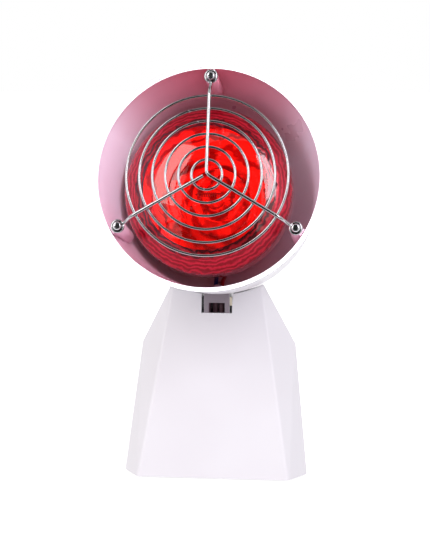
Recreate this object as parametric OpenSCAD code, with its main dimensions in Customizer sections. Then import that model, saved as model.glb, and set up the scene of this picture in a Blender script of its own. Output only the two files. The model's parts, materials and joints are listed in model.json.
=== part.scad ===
// Infrared heat therapy lamp: a tilting drum-shaped shade with a red reflector bulb and a
// wire guard, carried by a hollow neck in the hinge slot of a wedge-shaped base.
//
// Lengths are millimetres. The lamp stands on z = 0 and faces -Y; +X is its left-hand side,
// which is on the right for someone who looks into the shade. The origin is at the middle of
// the footprint of the whole lamp. Shade pieces are drawn in the head's own frame: the mouth
// lies in z = 0, +Z points out of it and +Y is up. Neck pieces are drawn around the pivot.

/* [Pose] */
// Angle that the shade looks up by as the lamp stands, in degrees
head_tilt = 16; // [12:1:20]
// Angle that the shade can still sink by from there
tilt_down = 1; // [1:1:4]
// Angle that the shade can be raised by from there
tilt_up = 34; // [24:1:36]

/* [Shade] */
// Outside diameter of the shade at its mouth
mouth_d = 158; // [150:1:168]
// Wall of the shade
shade_wall = 2.4; // [2:0.2:3]
// Depth of the slightly drafted drum behind the mouth
drum_depth = 66; // [60:1:72]
// Radius that the drum loses over its depth
drum_draft = 7.8; // [5:0.2:9]
// Depth from the mouth to the rear housing
bowl_depth = 126; // [122:1:134]
// Outside diameter of the rear housing
housing_d = 76; // [74:1:84]
// Length of the rear housing
housing_len = 58; // [56:1:64]
// Width of the band around the mouth
lip_w = 3.1; // [2.6:0.1:3.6]
// Number of vent slots around the rear housing
vent_count = 12; // [8:4:16]
// Width of a vent slot
vent_w = 3.2; // [2.4:0.2:4]

/* [Wire guard] */
// Diameter of the ring wire
ring_wire = 1.9; // [1.6:0.1:2.4]
// Diameter of the spoke wire
spoke_wire = 2.4; // [2:0.1:3]
// Number of rings
ring_count = 6; // [4:1:7]
// Radius of the smallest ring
ring_first = 10.4; // [9:0.2:12]
// Step from one ring to the next
ring_step = 8.95; // [7:0.05:9.2]
// Height of the spokes above the mouth at the outermost ring
guard_rise = 8; // [7:0.5:12]
// Extra height of the spokes at the middle
guard_dome = 2.2; // [1:0.2:4]
// Radius on which the three guard screws lie
guard_screw_r = 70; // [68:0.5:71]

/* [Bulb] */
// Largest diameter of the reflector bulb
bulb_d = 121; // [112:1:124]
// Depth of the bulb's largest diameter behind the mouth
bulb_depth = 50; // [46:1:54]
// Height of the domed front glass
lens_rise = 20; // [14:1:22]
// Thickness of the bulb glass
glass_t = 2.6; // [2:0.2:3.2]
// Diameter of the bulb's screw cap
cap_d = 26.4; // [24:0.2:27]
// Sideways lean of the bulb in its lamp holder, in degrees
bulb_lean = 2.7; // [0:0.1:3]

/* [Hinge] */
// Distance of the pivot behind the foot of the base's front face
pivot_y = 44.6; // [44:0.2:46]
// Height of the pivot
pivot_z = 109; // [106:1:112]
// Distance of the pivot behind the mouth, along the shade
pivot_depth = 96; // [94:0.5:98]
// Distance of the pivot outside the radius of the mouth
pivot_gap = 6.4; // [6:0.2:8]
// Width of the neck
neck_w = 18.4; // [16:0.2:19]
// Radius of the neck's barrel
neck_r = 15.5; // [14.5:0.1:15.6]
// Width of the hollow in the neck
neck_hollow = 11.6; // [9:0.2:12]
// Diameter of the two pivot pins
pin_d = 6; // [5:0.2:7]
// Width of the hinge slot in the base
slot_w = 22.2; // [20:0.2:24]
// Height of the slot's lower edge in the front face
slot_z = 116.2; // [115:0.2:118]

/* [Base] */
// Width of the base at its widest
base_w = 132.6; // [126:0.2:140]
// Width of the front face at its foot
front_w = 108.4; // [102:0.2:112]
// Depth of the base
base_depth = 128; // [120:1:144]
// Height of the base's front edge before the saddle is cut
ridge_z = 136.7; // [135:0.1:139]
// Width of the front face at that height
ridge_w = 68.4; // [64:0.2:72]
// Distance that the front face leans back by over its height
front_lean = 32.8; // [31:0.2:34]
// Height of the rear wall
rear_z = 45; // [42:1:52]
// Width of the rear wall at its foot
rear_w = 96; // [88:1:100]
// Wall of the base
base_wall = 2.6; // [2.2:0.1:2.8]
// Height of the rubber feet below the shell
foot_h = 1.2; // [1:0.1:2]
// Thickness of the ballast plate
ballast_t = 6; // [4:0.5:8]

/* [Switch and inlet] */
// Length of the switch frame
switch_w = 21; // [19:0.5:24]
// Height of the switch frame
switch_h = 15; // [13:0.5:16]
// Travel of the rocker, in degrees
rocker_travel = 16; // [10:1:18]
// Diameter of the lead that the gland is made for
inlet_lead_d = 6.2; // [5:0.1:7]
// Diameter of one insulated lead
lead_d = 3; // [2.4:0.1:3.2]

/* [Hidden] */
$fn = 64;

// Clearances
fit = 0.1;          // all round, between pieces that are put together and stay
run = 0.05;         // radial, between a pin and its bore
seat = 0.02;        // between curved or stacked pieces that touch
saddle_gap = 0.5;   // between the lowered shade and the edge of the base
eps = 0.01;
cut = 1;            // overshoot of a cutting solid
bend_bulge = 0.12;  // a bend in a rod is this much thicker than the rod

// Colours
white = [0.95, 0.94, 0.95];
red_glass = [0.72, 0.02, 0.06, 0.75];
steel = [0.75, 0.76, 0.78];
chrome = [0.85, 0.86, 0.88];
brass = [0.80, 0.65, 0.32];
ceramic = [0.90, 0.88, 0.82];
cream = [0.88, 0.82, 0.68];
blue = [0.06, 0.10, 0.35];
dark_red = [0.55, 0.04, 0.06];
black = [0.06, 0.06, 0.07];

// Screws: a pan head on a plain shank
screw_d = 3;
head_d = 6;
head_h = 2.2;
pilot_d = screw_d + 2 * run;

// Shade outline
mouth_r = mouth_d / 2;
pivot_drop = mouth_r + pivot_gap;                // from the axis of the shade to the pivot
lip_round = 1.2;
lip_depth = 6;
groove_w = 0.6;
groove_depth = 0.5;
housing_r = housing_d / 2;
drum_end_r = mouth_r - drum_draft;
bowl_lead = 16;                                  // start of the bowl's ellipse inside the drum
bowl_half = bowl_depth - drum_depth + bowl_lead;
bowl_turn = asin(bowl_lead / bowl_half);
bowl_rise = (drum_end_r - housing_r) / cos(bowl_turn);
bowl_steps = 18;
housing_end = bowl_depth + housing_len;
cover_t = 2.4;
cover_dome = 3.6;

function bowl_point(t, wall) = [
  housing_r - wall + bowl_rise * cos(t),
  -(drum_depth - bowl_lead + (bowl_half - wall) * sin(t))
];
function bowl_arc(wall) = [
  for (i = [0:bowl_steps]) bowl_point(bowl_turn + (90 - bowl_turn) * i / bowl_steps, wall)
];
function wall_r(d) = mouth_r - drum_draft * d / drum_depth - shade_wall;
function shade_r(d) =
  d <= drum_depth ? mouth_r - drum_draft * d / drum_depth :
  housing_r + bowl_rise * sqrt(1 - pow((d - drum_depth + bowl_lead) / bowl_half, 2));
function reversed(list) = [for (i = [len(list) - 1:-1:0]) list[i]];

// Wire guard
ring_last = ring_first + ring_step * (ring_count - 1);
eyelet_r = 3.65;                     // to the middle of the wire
eyelet_gap = 24;                     // opening of an eyelet, in degrees
eyelet_z = seat + (spoke_wire + bend_bulge) / 2;
jog_out = 64;                        // the spoke leaves the mouth's plane here
jog_in = ring_last + 3.2;            // and lies over the rings from here on
spoke_slope = guard_dome / jog_in;
guard_angles = [90, -30, 210];
boss_d = 9.2;
boss_len = 40;
boss_web = 5;
guard_shank = 14;

function spoke_z(r) = guard_rise + guard_dome - spoke_slope * r;
function ring_z(r) = spoke_z(r) - (spoke_wire + ring_wire) / 2 - seat;

// Bulb, measured along its own axis from the tip of its contact
contact_h = 2;
insulator_h = 3;
cap_len = 27;
cap_start = contact_h + insulator_h;
cap_end = cap_start + cap_len;
cap_bore = cap_d / 2 - 2.2;                      // inner radius of the screw cap
bulb_neck_r = 19.6;
bulb_neck_len = 12;
funnel_len = 66;
skirt_len = 6;
funnel_start = cap_end + bulb_neck_len;
funnel_end = funnel_start + funnel_len;
equator = funnel_end + skirt_len;
bulb_r = bulb_d / 2;
funnel_steps = 16;
thread_turns = 5;
thread_pitch = 3.6;
thread_depth = 0.7;
dome_steps = 18;
contact_depth = bulb_depth + equator;     // of the bulb's contact, behind the mouth

function funnel_r(z) =
  z >= funnel_end ? bulb_r :
  bulb_neck_r + (bulb_r - bulb_neck_r) * sin(90 * pow((z - funnel_start) / funnel_len, 0.8));
function funnel_points(wall) = [
  for (i = [0:funnel_steps])
    let (z = funnel_start + funnel_len * i / funnel_steps) [funnel_r(z) - wall, z]
];
function dome_points(r, rise, base) = [
  for (i = [0:dome_steps]) let (t = 90 * i / dome_steps) [r * cos(t), base + rise * sin(t)]
];

// Lamp holder, along the axis of the shade; depths are behind the mouth
holder_front = contact_depth - 26;
holder_back = contact_depth + 10;
holder_floor = contact_depth + 5;
engaged = 24;
shell_t = 0.8;
shell_r = cap_d / 2 + engaged * sin(bulb_lean) + 0.3;
holder_bore = shell_r + shell_t + run;
holder_r = holder_bore + 6.2;
holder_screw_x = (holder_bore + holder_r) / 2;
bracket_t = 1.5;
bracket_w = 13;
boss_r = 4.2;
boss_x = housing_r - shade_wall - boss_r + 0.6;
boss_run = 24;
cover_post = 4;
terminal_r = 2.4;
terminal_x = 7;
terminal_depth = contact_depth - 3;
terminal_start = shell_r + shell_t + 2;
terminal_tip = holder_r + 3;

// Neck
neck_cheek = (neck_w - neck_hollow) / 2;
neck_front = neck_r;
neck_back = 12;
neck_top = 34;
window_low = 1;
window_high = 14;
channel_d = 8.4;
neck_screw_run = 7;
lead_gate = [-114, -30];                   // angles between which the leads enter the barrel
screw_y = [-neck_front + 5.7, neck_back - 4.6];
channel_y = -1.4;
ear_t = 3;
pin_boss_len = 9;
pin_boss_d = 13;
pin_head_d = 9;
pin_head_h = 3;
barrel_gap = 0.7;
front_ease = 0.05;   // keeps the slot's front off the tangent of its round floor
shim_t = (slot_w - neck_w) / 2 - 2 * fit;
shim_d = 14;
shim_top = 18;
shim_low = 12;
lead_x = 2.2;
lead_sides = 10;

// Base outline: the points of one half, each with the radius of its rounded corner
foot_corner = [
  [front_w / 2, 0, 4], [base_w / 2, 20.5, 7], [base_w / 2 - 5.9, 72.6, 16], [rear_w / 2, base_depth, 10]
];
edge_r = 3.2;
kink = [56.1, 43.5, 94.2];
rear_top_w = 81.8;
lean_rate = front_lean / ridge_z;
plate_t = 2.6;
plate_z = foot_h + 0.6;
stage_z = plate_z + plate_t;
post_r = 4.5;
posts = [[34, 24], [42, 92]];
foot_spots = [[36, 14], [36, 106]];
foot_d = 14;
stem_d = 5;
ballast_size = [62, 56];
ballast_y = 56;

// Rear wall: rocker switch above the inlet gland
switch_z = 30;
switch_bezel = 2;
switch_body = [switch_w - 2.2, switch_h - 2.2];
switch_depth = 14;
rocker_w = switch_w - 4.2;
rocker_h = switch_h - 4.2;
rocker_pivot = -1;                       // along the rear wall's normal, from its outer face
rocker_pin_d = 2.4;
gland_z = 13;
gland_d = inlet_lead_d + 3.6;
gland_flange = 13.5;
gland_tail = 9;
nut_t = 3;
blade_x = 5;
block_size = [26, 14, 13];
block_y = 104;
block_pole = 6;
block_screw_d = 3.6;

// The footprint's middle, found from the foremost and rearmost points of the head
mouth_y = pivot_y + pivot_drop * sin(head_tilt) - pivot_depth * cos(head_tilt);
rim_y = mouth_y - (mouth_r - lip_round) * sin(head_tilt);
front_y = min([rim_y, for (i = [0:ring_count - 1]) let (r = ring_first + i * ring_step)
  mouth_y - r * sin(head_tilt) - ring_z(r) * cos(head_tilt) - ring_wire / 2]);
cover_outline = [
  for (i = [0:8]) let (t = 90 * i / 8)
    [housing_r - cover_dome + cover_dome * cos(t), -(housing_end + cover_t + cover_dome * sin(t))]
];
rear_y = max([for (p = cover_outline) mouth_y + p[0] * sin(head_tilt) - p[1] * cos(head_tilt)]);
origin_y = -(front_y + rear_y) / 2;

// ---------------------------------------------------------------- helpers

function unit(v) = norm(v) == 0 ? v : v / norm(v);

module at_base() {
  translate([0, origin_y, 0]) children();
}

module at_pivot() {
  at_base() translate([0, pivot_y, pivot_z]) children();
}

module at_head(tilt = head_tilt) {
  at_pivot() rotate([90 - tilt, 0, 0]) translate([0, pivot_drop, pivot_depth]) children();
}

module at_bulb() {
  at_head() translate([0, 0, -contact_depth]) rotate([0, -bulb_lean, 0]) children();
}

module side_profile(width) {
  rotate([90, 0, 90]) translate([0, 0, -width / 2]) linear_extrude(width) children();
}

module both_sides() {
  children();
  mirror([1, 0, 0]) children();
}

module rod(a, b, d) {
  v = b - a;
  l = norm(v);
  translate(a) rotate([0, acos(v[2] / l), atan2(v[1], v[0])]) cylinder(d = d, h = l);
}

module bent_rod(points, d) {
  for (i = [0:len(points) - 2]) rod(points[i], points[i + 1], d);
  for (i = [1:1:len(points) - 2]) translate(points[i]) sphere(d = d + bend_bulge);
}

// A lead: a tube of lead_sides sides through the points, none of which is followed by a step along X
function lead_way(points, i) =
  unit(unit(points[i] - points[max(i - 1, 0)]) + unit(points[min(i + 1, len(points) - 1)] - points[i]));

module lead_tube(points) {
  last = len(points) - 1;
  rings = [
    for (i = [0:last])
      let (way = lead_way(points, i), side = unit(cross(way, [1, 0, 0])), over = cross(way, side))
        for (k = [0:lead_sides - 1]) let (a = 360 * k / lead_sides)
          points[i] + lead_d / 2 * (cos(a) * side + sin(a) * over)
  ];
  walls = [
    for (i = [0:last - 1]) for (k = [0:lead_sides - 1])
      let (a = i * lead_sides + k, b = i * lead_sides + (k + 1) % lead_sides)
        each [[a, a + lead_sides, b + lead_sides], [a, b + lead_sides, b]]
  ];
  polyhedron(rings, concat(
    [[for (k = [0:lead_sides - 1]) k]],
    walls,
    [[for (k = [lead_sides - 1:-1:0]) last * lead_sides + k]]
  ));
}

module pan_screw(length, shank = screw_d, head = head_d, high = head_h) {
  translate([0, 0, -length]) cylinder(d = shank, h = length + eps);
  difference() {
    intersection() {
      cylinder(d = head, h = high);
      translate([0, 0, high - head]) sphere(r = head);
    }
    for (a = [0, 90]) rotate([0, 0, a]) translate([-head / 4, -head / 16, high / 2]) cube([head / 2, head / 8, high]);
  }
}

// Solid body of the shade, grown by extra; it trims the neck and cuts the base's saddle
module shade_body(extra = 0) {
  rotate_extrude($fn = 96) polygon(concat(
    [[0, extra], [mouth_r + extra, extra], [drum_end_r + extra, -drum_depth]],
    [for (p = bowl_arc(-extra)) p],
    [[0, -(bowl_depth + extra)]]
  ));
}

// ---------------------------------------------------------------- shade

module shade_wall_ring() {
  outer = concat(
    [
      [mouth_r - lip_w, 0],
      [mouth_r - lip_round - 2 * groove_w, 0],
      [mouth_r - lip_round - 2 * groove_w, -groove_depth],
      [mouth_r - lip_round - groove_w, -groove_depth],
      [mouth_r - lip_round - groove_w, 0],
      [mouth_r - lip_round, 0],
      [mouth_r, -lip_round]
    ],
    bowl_arc(0),
    [[housing_r, -housing_end]]
  );
  inner = concat(
    [[mouth_r - lip_w, -lip_depth], [wall_r(lip_depth + 1), -lip_depth - 1]],
    bowl_arc(shade_wall),
    [[housing_r - shade_wall, -housing_end]]
  );
  rotate_extrude($fn = 96) polygon(concat(outer, reversed(inner)));
}

module guard_bosses() {
  for (a = guard_angles) rotate([0, 0, a]) {
    translate([guard_screw_r, 0, -boss_len]) cylinder(d = boss_d, h = boss_len);
    translate([guard_screw_r, -boss_web / 2, -boss_len])
      cube([wall_r(boss_len) + 1 - guard_screw_r, boss_web, boss_len]);
    translate([guard_screw_r, -boss_web / 2, -boss_len / 2])
      cube([wall_r(boss_len / 2) + 1 - guard_screw_r, boss_web, boss_len / 2]);
    translate([guard_screw_r, -boss_web / 2, -lip_depth])
      cube([mouth_r - lip_w + 1 - guard_screw_r, boss_web, lip_depth]);
  }
}

module rear_bosses() {
  for (s = [-1, 1]) {
    translate([s * boss_x, 0, -holder_back]) cylinder(r = boss_r, h = boss_run);
    translate([0, s * boss_x, -(housing_end - cover_post)]) cylinder(r = boss_r, h = boss_run);
  }
}

module vent_slots() {
  for (i = [0:vent_count - 1]) rotate([0, 0, (i + 0.5) * 360 / vent_count])
    translate([housing_r - 2 * shade_wall, -vent_w / 2, -(housing_end - 12)])
      cube([3 * shade_wall, vent_w, housing_len - 22]);
}

// Depths of the two neck screws and of the hole for the leads, along the shade
function depth_at(y, z) = pivot_depth + y * cos(head_tilt) - z * sin(head_tilt);
screw_depths = [for (y = screw_y) depth_at(y, 22)];
lead_depth = depth_at(channel_y, 22);
pad_r = 4.6;
pad_h = 2.2;
function pad_level(d) = shade_r(d) - shade_wall - pad_h;

module shade() {
  color(white) at_head() difference() {
    union() {
      shade_wall_ring();
      guard_bosses();
      rear_bosses();
      intersection() {
        shade_body(-shade_wall / 2);
        for (d = screw_depths) translate([0, -pad_level(d), -d]) rotate([90, 0, 0]) cylinder(r = pad_r, h = 12);
      }
    }
    for (a = guard_angles) rotate([0, 0, a]) translate([guard_screw_r, 0, -guard_shank - 1])
      cylinder(d = pilot_d, h = guard_shank + 1 + cut);
    for (s = [-1, 1]) {
      translate([s * boss_x, 0, -holder_back - cut]) cylinder(d = pilot_d, h = 14 + cut);
      translate([0, s * boss_x, -(housing_end - cover_post) - cut]) cylinder(d = pilot_d, h = 14 + cut);
    }
    for (d = screw_depths) translate([0, -pad_level(d) + cut, -d]) rotate([90, 0, 0]) cylinder(d = pilot_d, h = 20);
    translate([0, -shade_r(lead_depth) / 2, -lead_depth]) rotate([90, 0, 0]) cylinder(d = channel_d, h = mouth_r / 2);
    vent_slots();
  }
}

module rear_cap() {
  ring_r = housing_r - shade_wall - 2 * fit;
  color(white) at_head() difference() {
    union() {
      rotate_extrude() polygon(concat(
        [[0, -(housing_end + cover_t + cover_dome)]],
        reversed(cover_outline),
        [[housing_r, -housing_end], [ring_r, -housing_end], [ring_r, -(housing_end - 3)]],
        [[ring_r - 2, -(housing_end - 3)], [ring_r - 2, -(housing_end + cover_t)]],
        [[0, -(housing_end + cover_t)]]
      ));
      for (s = [-1, 1]) translate([0, s * boss_x, -(housing_end + cover_t + eps)]) cylinder(r = boss_r - 0.6, h = cover_t + cover_post);
    }
    for (s = [-1, 1]) {
      translate([0, s * boss_x, -(housing_end + 9)]) cylinder(d = pilot_d, h = 9 + cover_post + cut);
      translate([0, s * boss_x, -(housing_end + 9)]) cylinder(d = head_d + 1, h = 9 - 1);
    }
    for (i = [-3:3]) let (reach = sqrt(pow(housing_r - 12, 2) - pow(i * 7, 2)))
      translate([i * 7 - vent_w / 2, -reach, -(housing_end + 9)]) cube([vent_w, 2 * reach, 9]);
  }
}

module rear_cap_screws() {
  color(steel) at_head() for (s = [-1, 1])
    translate([0, s * boss_x, -(housing_end + 1)]) rotate([180, 0, 0]) pan_screw(14);
}

// ---------------------------------------------------------------- wire guard

module guard_rings() {
  color(chrome) at_head() for (i = [0:ring_count - 1]) let (r = ring_first + i * ring_step)
    translate([0, 0, ring_z(r)])
      rotate_extrude($fn = 96) translate([r, 0]) circle(d = ring_wire, $fn = 24);
}

module eyelet() {
  translate([guard_screw_r, 0, eyelet_z]) rotate([0, 0, 180])
    rotate_extrude(angle = 360 - eyelet_gap) translate([eyelet_r, 0]) circle(d = spoke_wire, $fn = 24);
}

module spoke_leg(angle, start) {
  rotate([0, 0, angle]) {
    eyelet();
    bent_rod([
      [guard_screw_r - eyelet_r, 0, eyelet_z],
      [jog_out, 0, eyelet_z],
      [jog_in, 0, spoke_z(jog_in)],
      [start, 0, spoke_z(start)]
    ], spoke_wire);
    translate([guard_screw_r - eyelet_r, 0, eyelet_z]) sphere(d = spoke_wire + bend_bulge);
  }
}

module guard_long_spoke() {
  color(chrome) at_head() {
    spoke_leg(guard_angles[0], 0);
    spoke_leg(guard_angles[1], 0);
    translate([0, 0, spoke_z(0)]) sphere(d = spoke_wire + bend_bulge);
  }
}

module guard_short_spoke() {
  color(chrome) at_head() spoke_leg(guard_angles[2], spoke_wire + 2 * seat);
}

module guard_screws() {
  head_z = eyelet_z + sqrt(pow(spoke_wire / 2, 2) - pow(eyelet_r - head_d / 2, 2)) + seat;
  color(steel) at_head() for (a = guard_angles) rotate([0, 0, a])
    translate([guard_screw_r, 0, head_z]) rotate([0, 0, -a]) pan_screw(guard_shank + head_z - 2);
}

// ---------------------------------------------------------------- bulb

module bulb_front_glass() {
  color(red_glass) at_bulb() rotate_extrude($fn = 96) polygon(concat(
    dome_points(bulb_r, lens_rise, equator),
    reversed(dome_points(bulb_r - glass_t, lens_rise - glass_t, equator))
  ));
}

module bulb_reflector() {
  color(red_glass) at_bulb() rotate_extrude($fn = 96) polygon(concat(
    [[bulb_r, equator - seat]],
    reversed(funnel_points(0)),
    funnel_points(glass_t),
    [[bulb_r - glass_t, equator - seat]]
  ));
}

module bulb_neck_glass() {
  color(red_glass) at_bulb() difference() {
    translate([0, 0, cap_end + seat]) cylinder(r = bulb_neck_r, h = bulb_neck_len - 2 * seat);
    translate([0, 0, cap_end - cut]) cylinder(r = bulb_neck_r - glass_t, h = bulb_neck_len + 2 * cut);
  }
}

stem_top = funnel_start + 18;
stem_base_r = bulb_neck_r - glass_t - seat;
post_x = 9;
filament_d = 1.2;
filament_turns = 9;

module bulb_stem() {
  color([0.8, 0.85, 0.85, 0.6]) at_bulb() {
    translate([0, 0, cap_end + 4]) cylinder(r1 = stem_base_r, r2 = 5, h = 10);
    translate([0, 0, cap_end + 14 - eps]) cylinder(r = 5, h = stem_top - cap_end - 20);
    translate([0, 0, stem_top - 6 - eps]) cylinder(r1 = 5, r2 = 3.6, h = 6);
    for (s = [-1, 1]) rod([s * 2, 0, stem_top - 2], [s * post_x, 0, stem_top + 14], 1);
  }
}

// One zigzag wire hung between the two posts
module bulb_filament() {
  step = 2 * (post_x - 1) / filament_turns;
  path = [
    for (i = [0:filament_turns]) [-(post_x - 1) + i * step, (i % 2 == 0 ? -1 : 1) * 1.6, stem_top + 14]
  ];
  color(steel) at_bulb() bent_rod(path, filament_d);
}

module bulb_screw_cap() {
  bump = [
    for (i = [0:thread_turns * 8])
      [cap_d / 2 - thread_depth / 2 + thread_depth / 2 * cos(i * 45), cap_start + 2.4 + i * thread_pitch / 8]
  ];
  color(brass) at_bulb() rotate_extrude() polygon(concat(
    [[cap_bore, cap_start], [cap_d / 2 - thread_depth, cap_start + 1.2]],
    bump,
    [[cap_d / 2 - 0.2, cap_end - 5], [bulb_neck_r - 2.4, cap_end], [cap_bore, cap_end]]
  ));
}

module bulb_cap_insulator() {
  color(black) at_bulb() translate([0, 0, contact_h])
    cylinder(r1 = 4.6, r2 = cap_d / 2 - 3.2, h = insulator_h - seat);
}

module bulb_cap_contact() {
  color(brass) at_bulb() intersection() {
    cylinder(r = 4.4, h = contact_h - seat);
    translate([0, 0, 6]) sphere(r = 6);
  }
}

// ---------------------------------------------------------------- lamp holder

module holder_ceramic() {
  color(ceramic) at_head() difference() {
    union() {
      translate([0, 0, -holder_back]) cylinder(r = holder_r, h = holder_back - holder_front - 4);
      translate([0, 0, -holder_front - 4 - eps]) cylinder(r1 = holder_r, r2 = holder_r - 2, h = 4);
    }
    translate([0, 0, -holder_floor]) cylinder(r = holder_bore, h = holder_floor - holder_front + cut);
    for (s = [-1, 1]) {
      translate([s * holder_screw_x, 0, -holder_back - cut]) cylinder(d = pilot_d, h = 12 + cut);
      translate([s * terminal_x, -holder_bore + cut, -terminal_depth]) rotate([90, 0, 0]) cylinder(r = terminal_r + run, h = 9);
    }
  }
}

module holder_thread_shell() {
  color(brass) at_head() difference() {
    translate([0, 0, -holder_floor + seat]) cylinder(r = shell_r + shell_t, h = holder_floor - contact_depth + engaged);
    translate([0, 0, -holder_floor - cut]) cylinder(r = shell_r, h = 2 * engaged + cut);
  }
}

module holder_contact() {
  color(brass) at_head() {
    translate([-7, -3, -holder_floor + seat]) cube([14, 6, 1]);
    translate([0, 0, -holder_floor + seat]) cylinder(r = 3, h = holder_floor - contact_depth - 2 * seat);
  }
}

module holder_terminals() {
  color(brass) at_head() for (s = [-1, 1])
    translate([s * terminal_x, -terminal_start, -terminal_depth]) rotate([90, 0, 0])
      cylinder(r = terminal_r, h = terminal_tip - terminal_start);
}

module holder_bracket() {
  color(steel) at_head() difference() {
    intersection() {
      translate([-housing_r, -bracket_w / 2, -holder_back - bracket_t]) cube([2 * housing_r, bracket_w, bracket_t]);
      translate([0, 0, -holder_back - bracket_t]) cylinder(r = housing_r - shade_wall - fit, h = bracket_t);
    }
    for (x = [-boss_x, -holder_screw_x, holder_screw_x, boss_x])
      translate([x, 0, -holder_back - bracket_t - cut]) cylinder(d = pilot_d, h = bracket_t + 2 * cut);
    translate([0, 0, -holder_back - bracket_t - cut]) cylinder(r = 5, h = bracket_t + 2 * cut);
  }
}

module plate_screws(x, length) {
  color(steel) at_head() for (s = [-1, 1])
    translate([s * x, 0, -holder_back - bracket_t]) rotate([180, 0, 0]) pan_screw(length + bracket_t);
}

module holder_screws() {
  plate_screws(holder_screw_x, 10);
}

module bracket_screws() {
  plate_screws(boss_x, 12);
}

// ---------------------------------------------------------------- neck and its leads

module lead_gate_cut() {
  reach = 2 * neck_r;
  side_profile(neck_hollow) polygon([
    [0, 0],
    reach * [cos(lead_gate[0]), sin(lead_gate[0])],
    [0, -2 * neck_r],
    reach * [cos(lead_gate[1]), sin(lead_gate[1])]
  ]);
}

module neck() {
  chamber_r = neck_r / 2;
  lead_lean = lead_depth - pivot_depth;
  color(white) difference() {
    at_pivot() difference() {
      side_profile(neck_w) union() {
        circle(r = neck_r);
        polygon([[-neck_front, 0], [neck_back, 0], [neck_back, neck_top], [-neck_front, neck_top]]);
      }
      side_profile(neck_hollow) {
        circle(r = chamber_r);
        polygon([[-neck_front - cut, window_low], [0, window_low], [0, window_high], [-neck_front - cut, window_high]]);
      }
      lead_gate_cut();
      both_sides() translate([neck_hollow / 2 - cut, 0, 0]) rotate([0, 90, 0]) cylinder(d = pin_d + 2 * run, h = neck_cheek + 2 * cut);
    }
    at_head() {
      shade_body(seat);
      translate([0, -pivot_drop, -pivot_depth - lead_lean]) rotate([-90, 0, 0]) cylinder(d = channel_d, h = pivot_drop / 2);
      for (d = screw_depths) translate([0, -shade_r(d) - neck_screw_run, -d]) rotate([-90, 0, 0])
        cylinder(d = pilot_d, h = 2 * neck_screw_run);
    }
  }
}

module neck_screws() {
  color(steel) at_head() for (d = screw_depths) translate([0, -pad_level(d), -d]) rotate([-90, 0, 0])
    pan_screw(pad_h + shade_wall + neck_screw_run - 1);
}

// A lead of the head: from the pivot up through the neck and back to its terminal
module head_lead(s) {
  at_head() lead_tube([
    [s * lead_x, -pivot_drop + 1.4, 4 - pivot_depth],
    [s * lead_x, -pivot_drop + 7, -lead_depth],
    [s * lead_x, -shade_r(lead_depth) + shade_wall + 5, -lead_depth],
    [s * (lead_x + 1), -shade_r(lead_depth) + shade_wall + 12, -lead_depth - 12],
    [s * (lead_x + 3), -housing_r + shade_wall + 4.5, -bowl_depth + 4],
    [s * terminal_x, -terminal_tip - 5, 8 - terminal_depth],
    [s * terminal_x, -terminal_tip - 3.4, -terminal_depth],
    [s * terminal_x, -terminal_tip - seat, -terminal_depth]
  ]);
}

module head_lead_blue() {
  color(blue) head_lead(-1);
}

module head_lead_red() {
  color(dark_red) head_lead(1);
}

// ---------------------------------------------------------------- base

// Centre of the rounded corner at p between its neighbours a and b
function corner_centre(a, p, b, r) =
  let (u = unit(a - p), v = unit(b - p), half = acos(u * v) / 2)
  p + unit(u + v) * r / sin(half);

function corner_xy(i) = [foot_corner[i][0], foot_corner[i][1]];
function corner_before(i) = i == 0 ? [-foot_corner[0][0], foot_corner[0][1]] : corner_xy(i - 1);
function corner_after(i) = i == 3 ? [-foot_corner[3][0], foot_corner[3][1]] : corner_xy(i + 1);
foot_discs = [
  for (i = [0:3]) corner_centre(corner_before(i), corner_xy(i), corner_after(i), foot_corner[i][2])
];

module foot_outline(inset) {
  for (i = [0:3]) both_sides_2d() translate(foot_discs[i]) circle(r = foot_corner[i][2] - inset, $fn = 32);
}

module both_sides_2d() {
  children();
  mirror([1, 0]) children();
}

// The wedge of the base: rounded foot corners and six rounded upper corners
module wedge(inset, low) {
  tops = [
    [ridge_w / 2 - edge_r, front_lean + edge_r, ridge_z - edge_r],
    [kink[0] - edge_r, kink[1], kink[2] - edge_r],
    [rear_top_w / 2 - edge_r, base_depth - edge_r, rear_z - edge_r]
  ];
  hull() {
    for (i = [0:3]) both_sides() translate([foot_discs[i][0], foot_discs[i][1], low])
      cylinder(r = foot_corner[i][2] - inset, h = 1, $fn = 32);
    for (p = tops) both_sides() translate(p) sphere(r = edge_r - inset, $fn = 32);
  }
}

module slot_space(width) {
  translate([-width / 2, -base_depth, slot_z]) cube([width, base_depth + pivot_y, ridge_z]);
  translate([0, pivot_y, pivot_z]) side_profile(width) {
    circle(r = neck_r + barrel_gap);
    for (a = [0, tilt_up]) rotate(-a) square([neck_back + barrel_gap, neck_top]);
    rotate(tilt_down) translate([front_ease - neck_front - barrel_gap, 0]) square([neck_front, neck_top]);
  }
}

// Everything that the lowered shade reaches into, in the base's own frame
module saddle_space(gap) {
  translate([0, -origin_y, 0]) at_head(head_tilt - tilt_down) shade_body(gap);
}

module hinge_ears() {
  intersection() {
    wedge(base_wall / 2, foot_h);
    both_sides() union() {
      translate([slot_w / 2, pivot_y - 22, pivot_z - 22]) cube([ear_t, 44, 60]);
      translate([slot_w / 2, pivot_y, pivot_z]) rotate([0, 90, 0]) cylinder(d = pin_boss_d, h = ear_t + pin_boss_len);
    }
  }
}

module base_posts() {
  intersection() {
    wedge(base_wall / 2, foot_h);
    both_sides() for (p = posts) translate([p[0], p[1], stage_z]) cylinder(r = post_r, h = p[1] > base_depth / 2 ? 60 : 20);
  }
}

// Shelf ribs tie each front post to the wall
module post_ribs() {
  intersection() {
    wedge(base_wall / 2, foot_h);
    both_sides() translate([posts[0][0], posts[0][1] - 1.2, stage_z]) cube([40, 2.4, 20]);
  }
}

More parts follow.
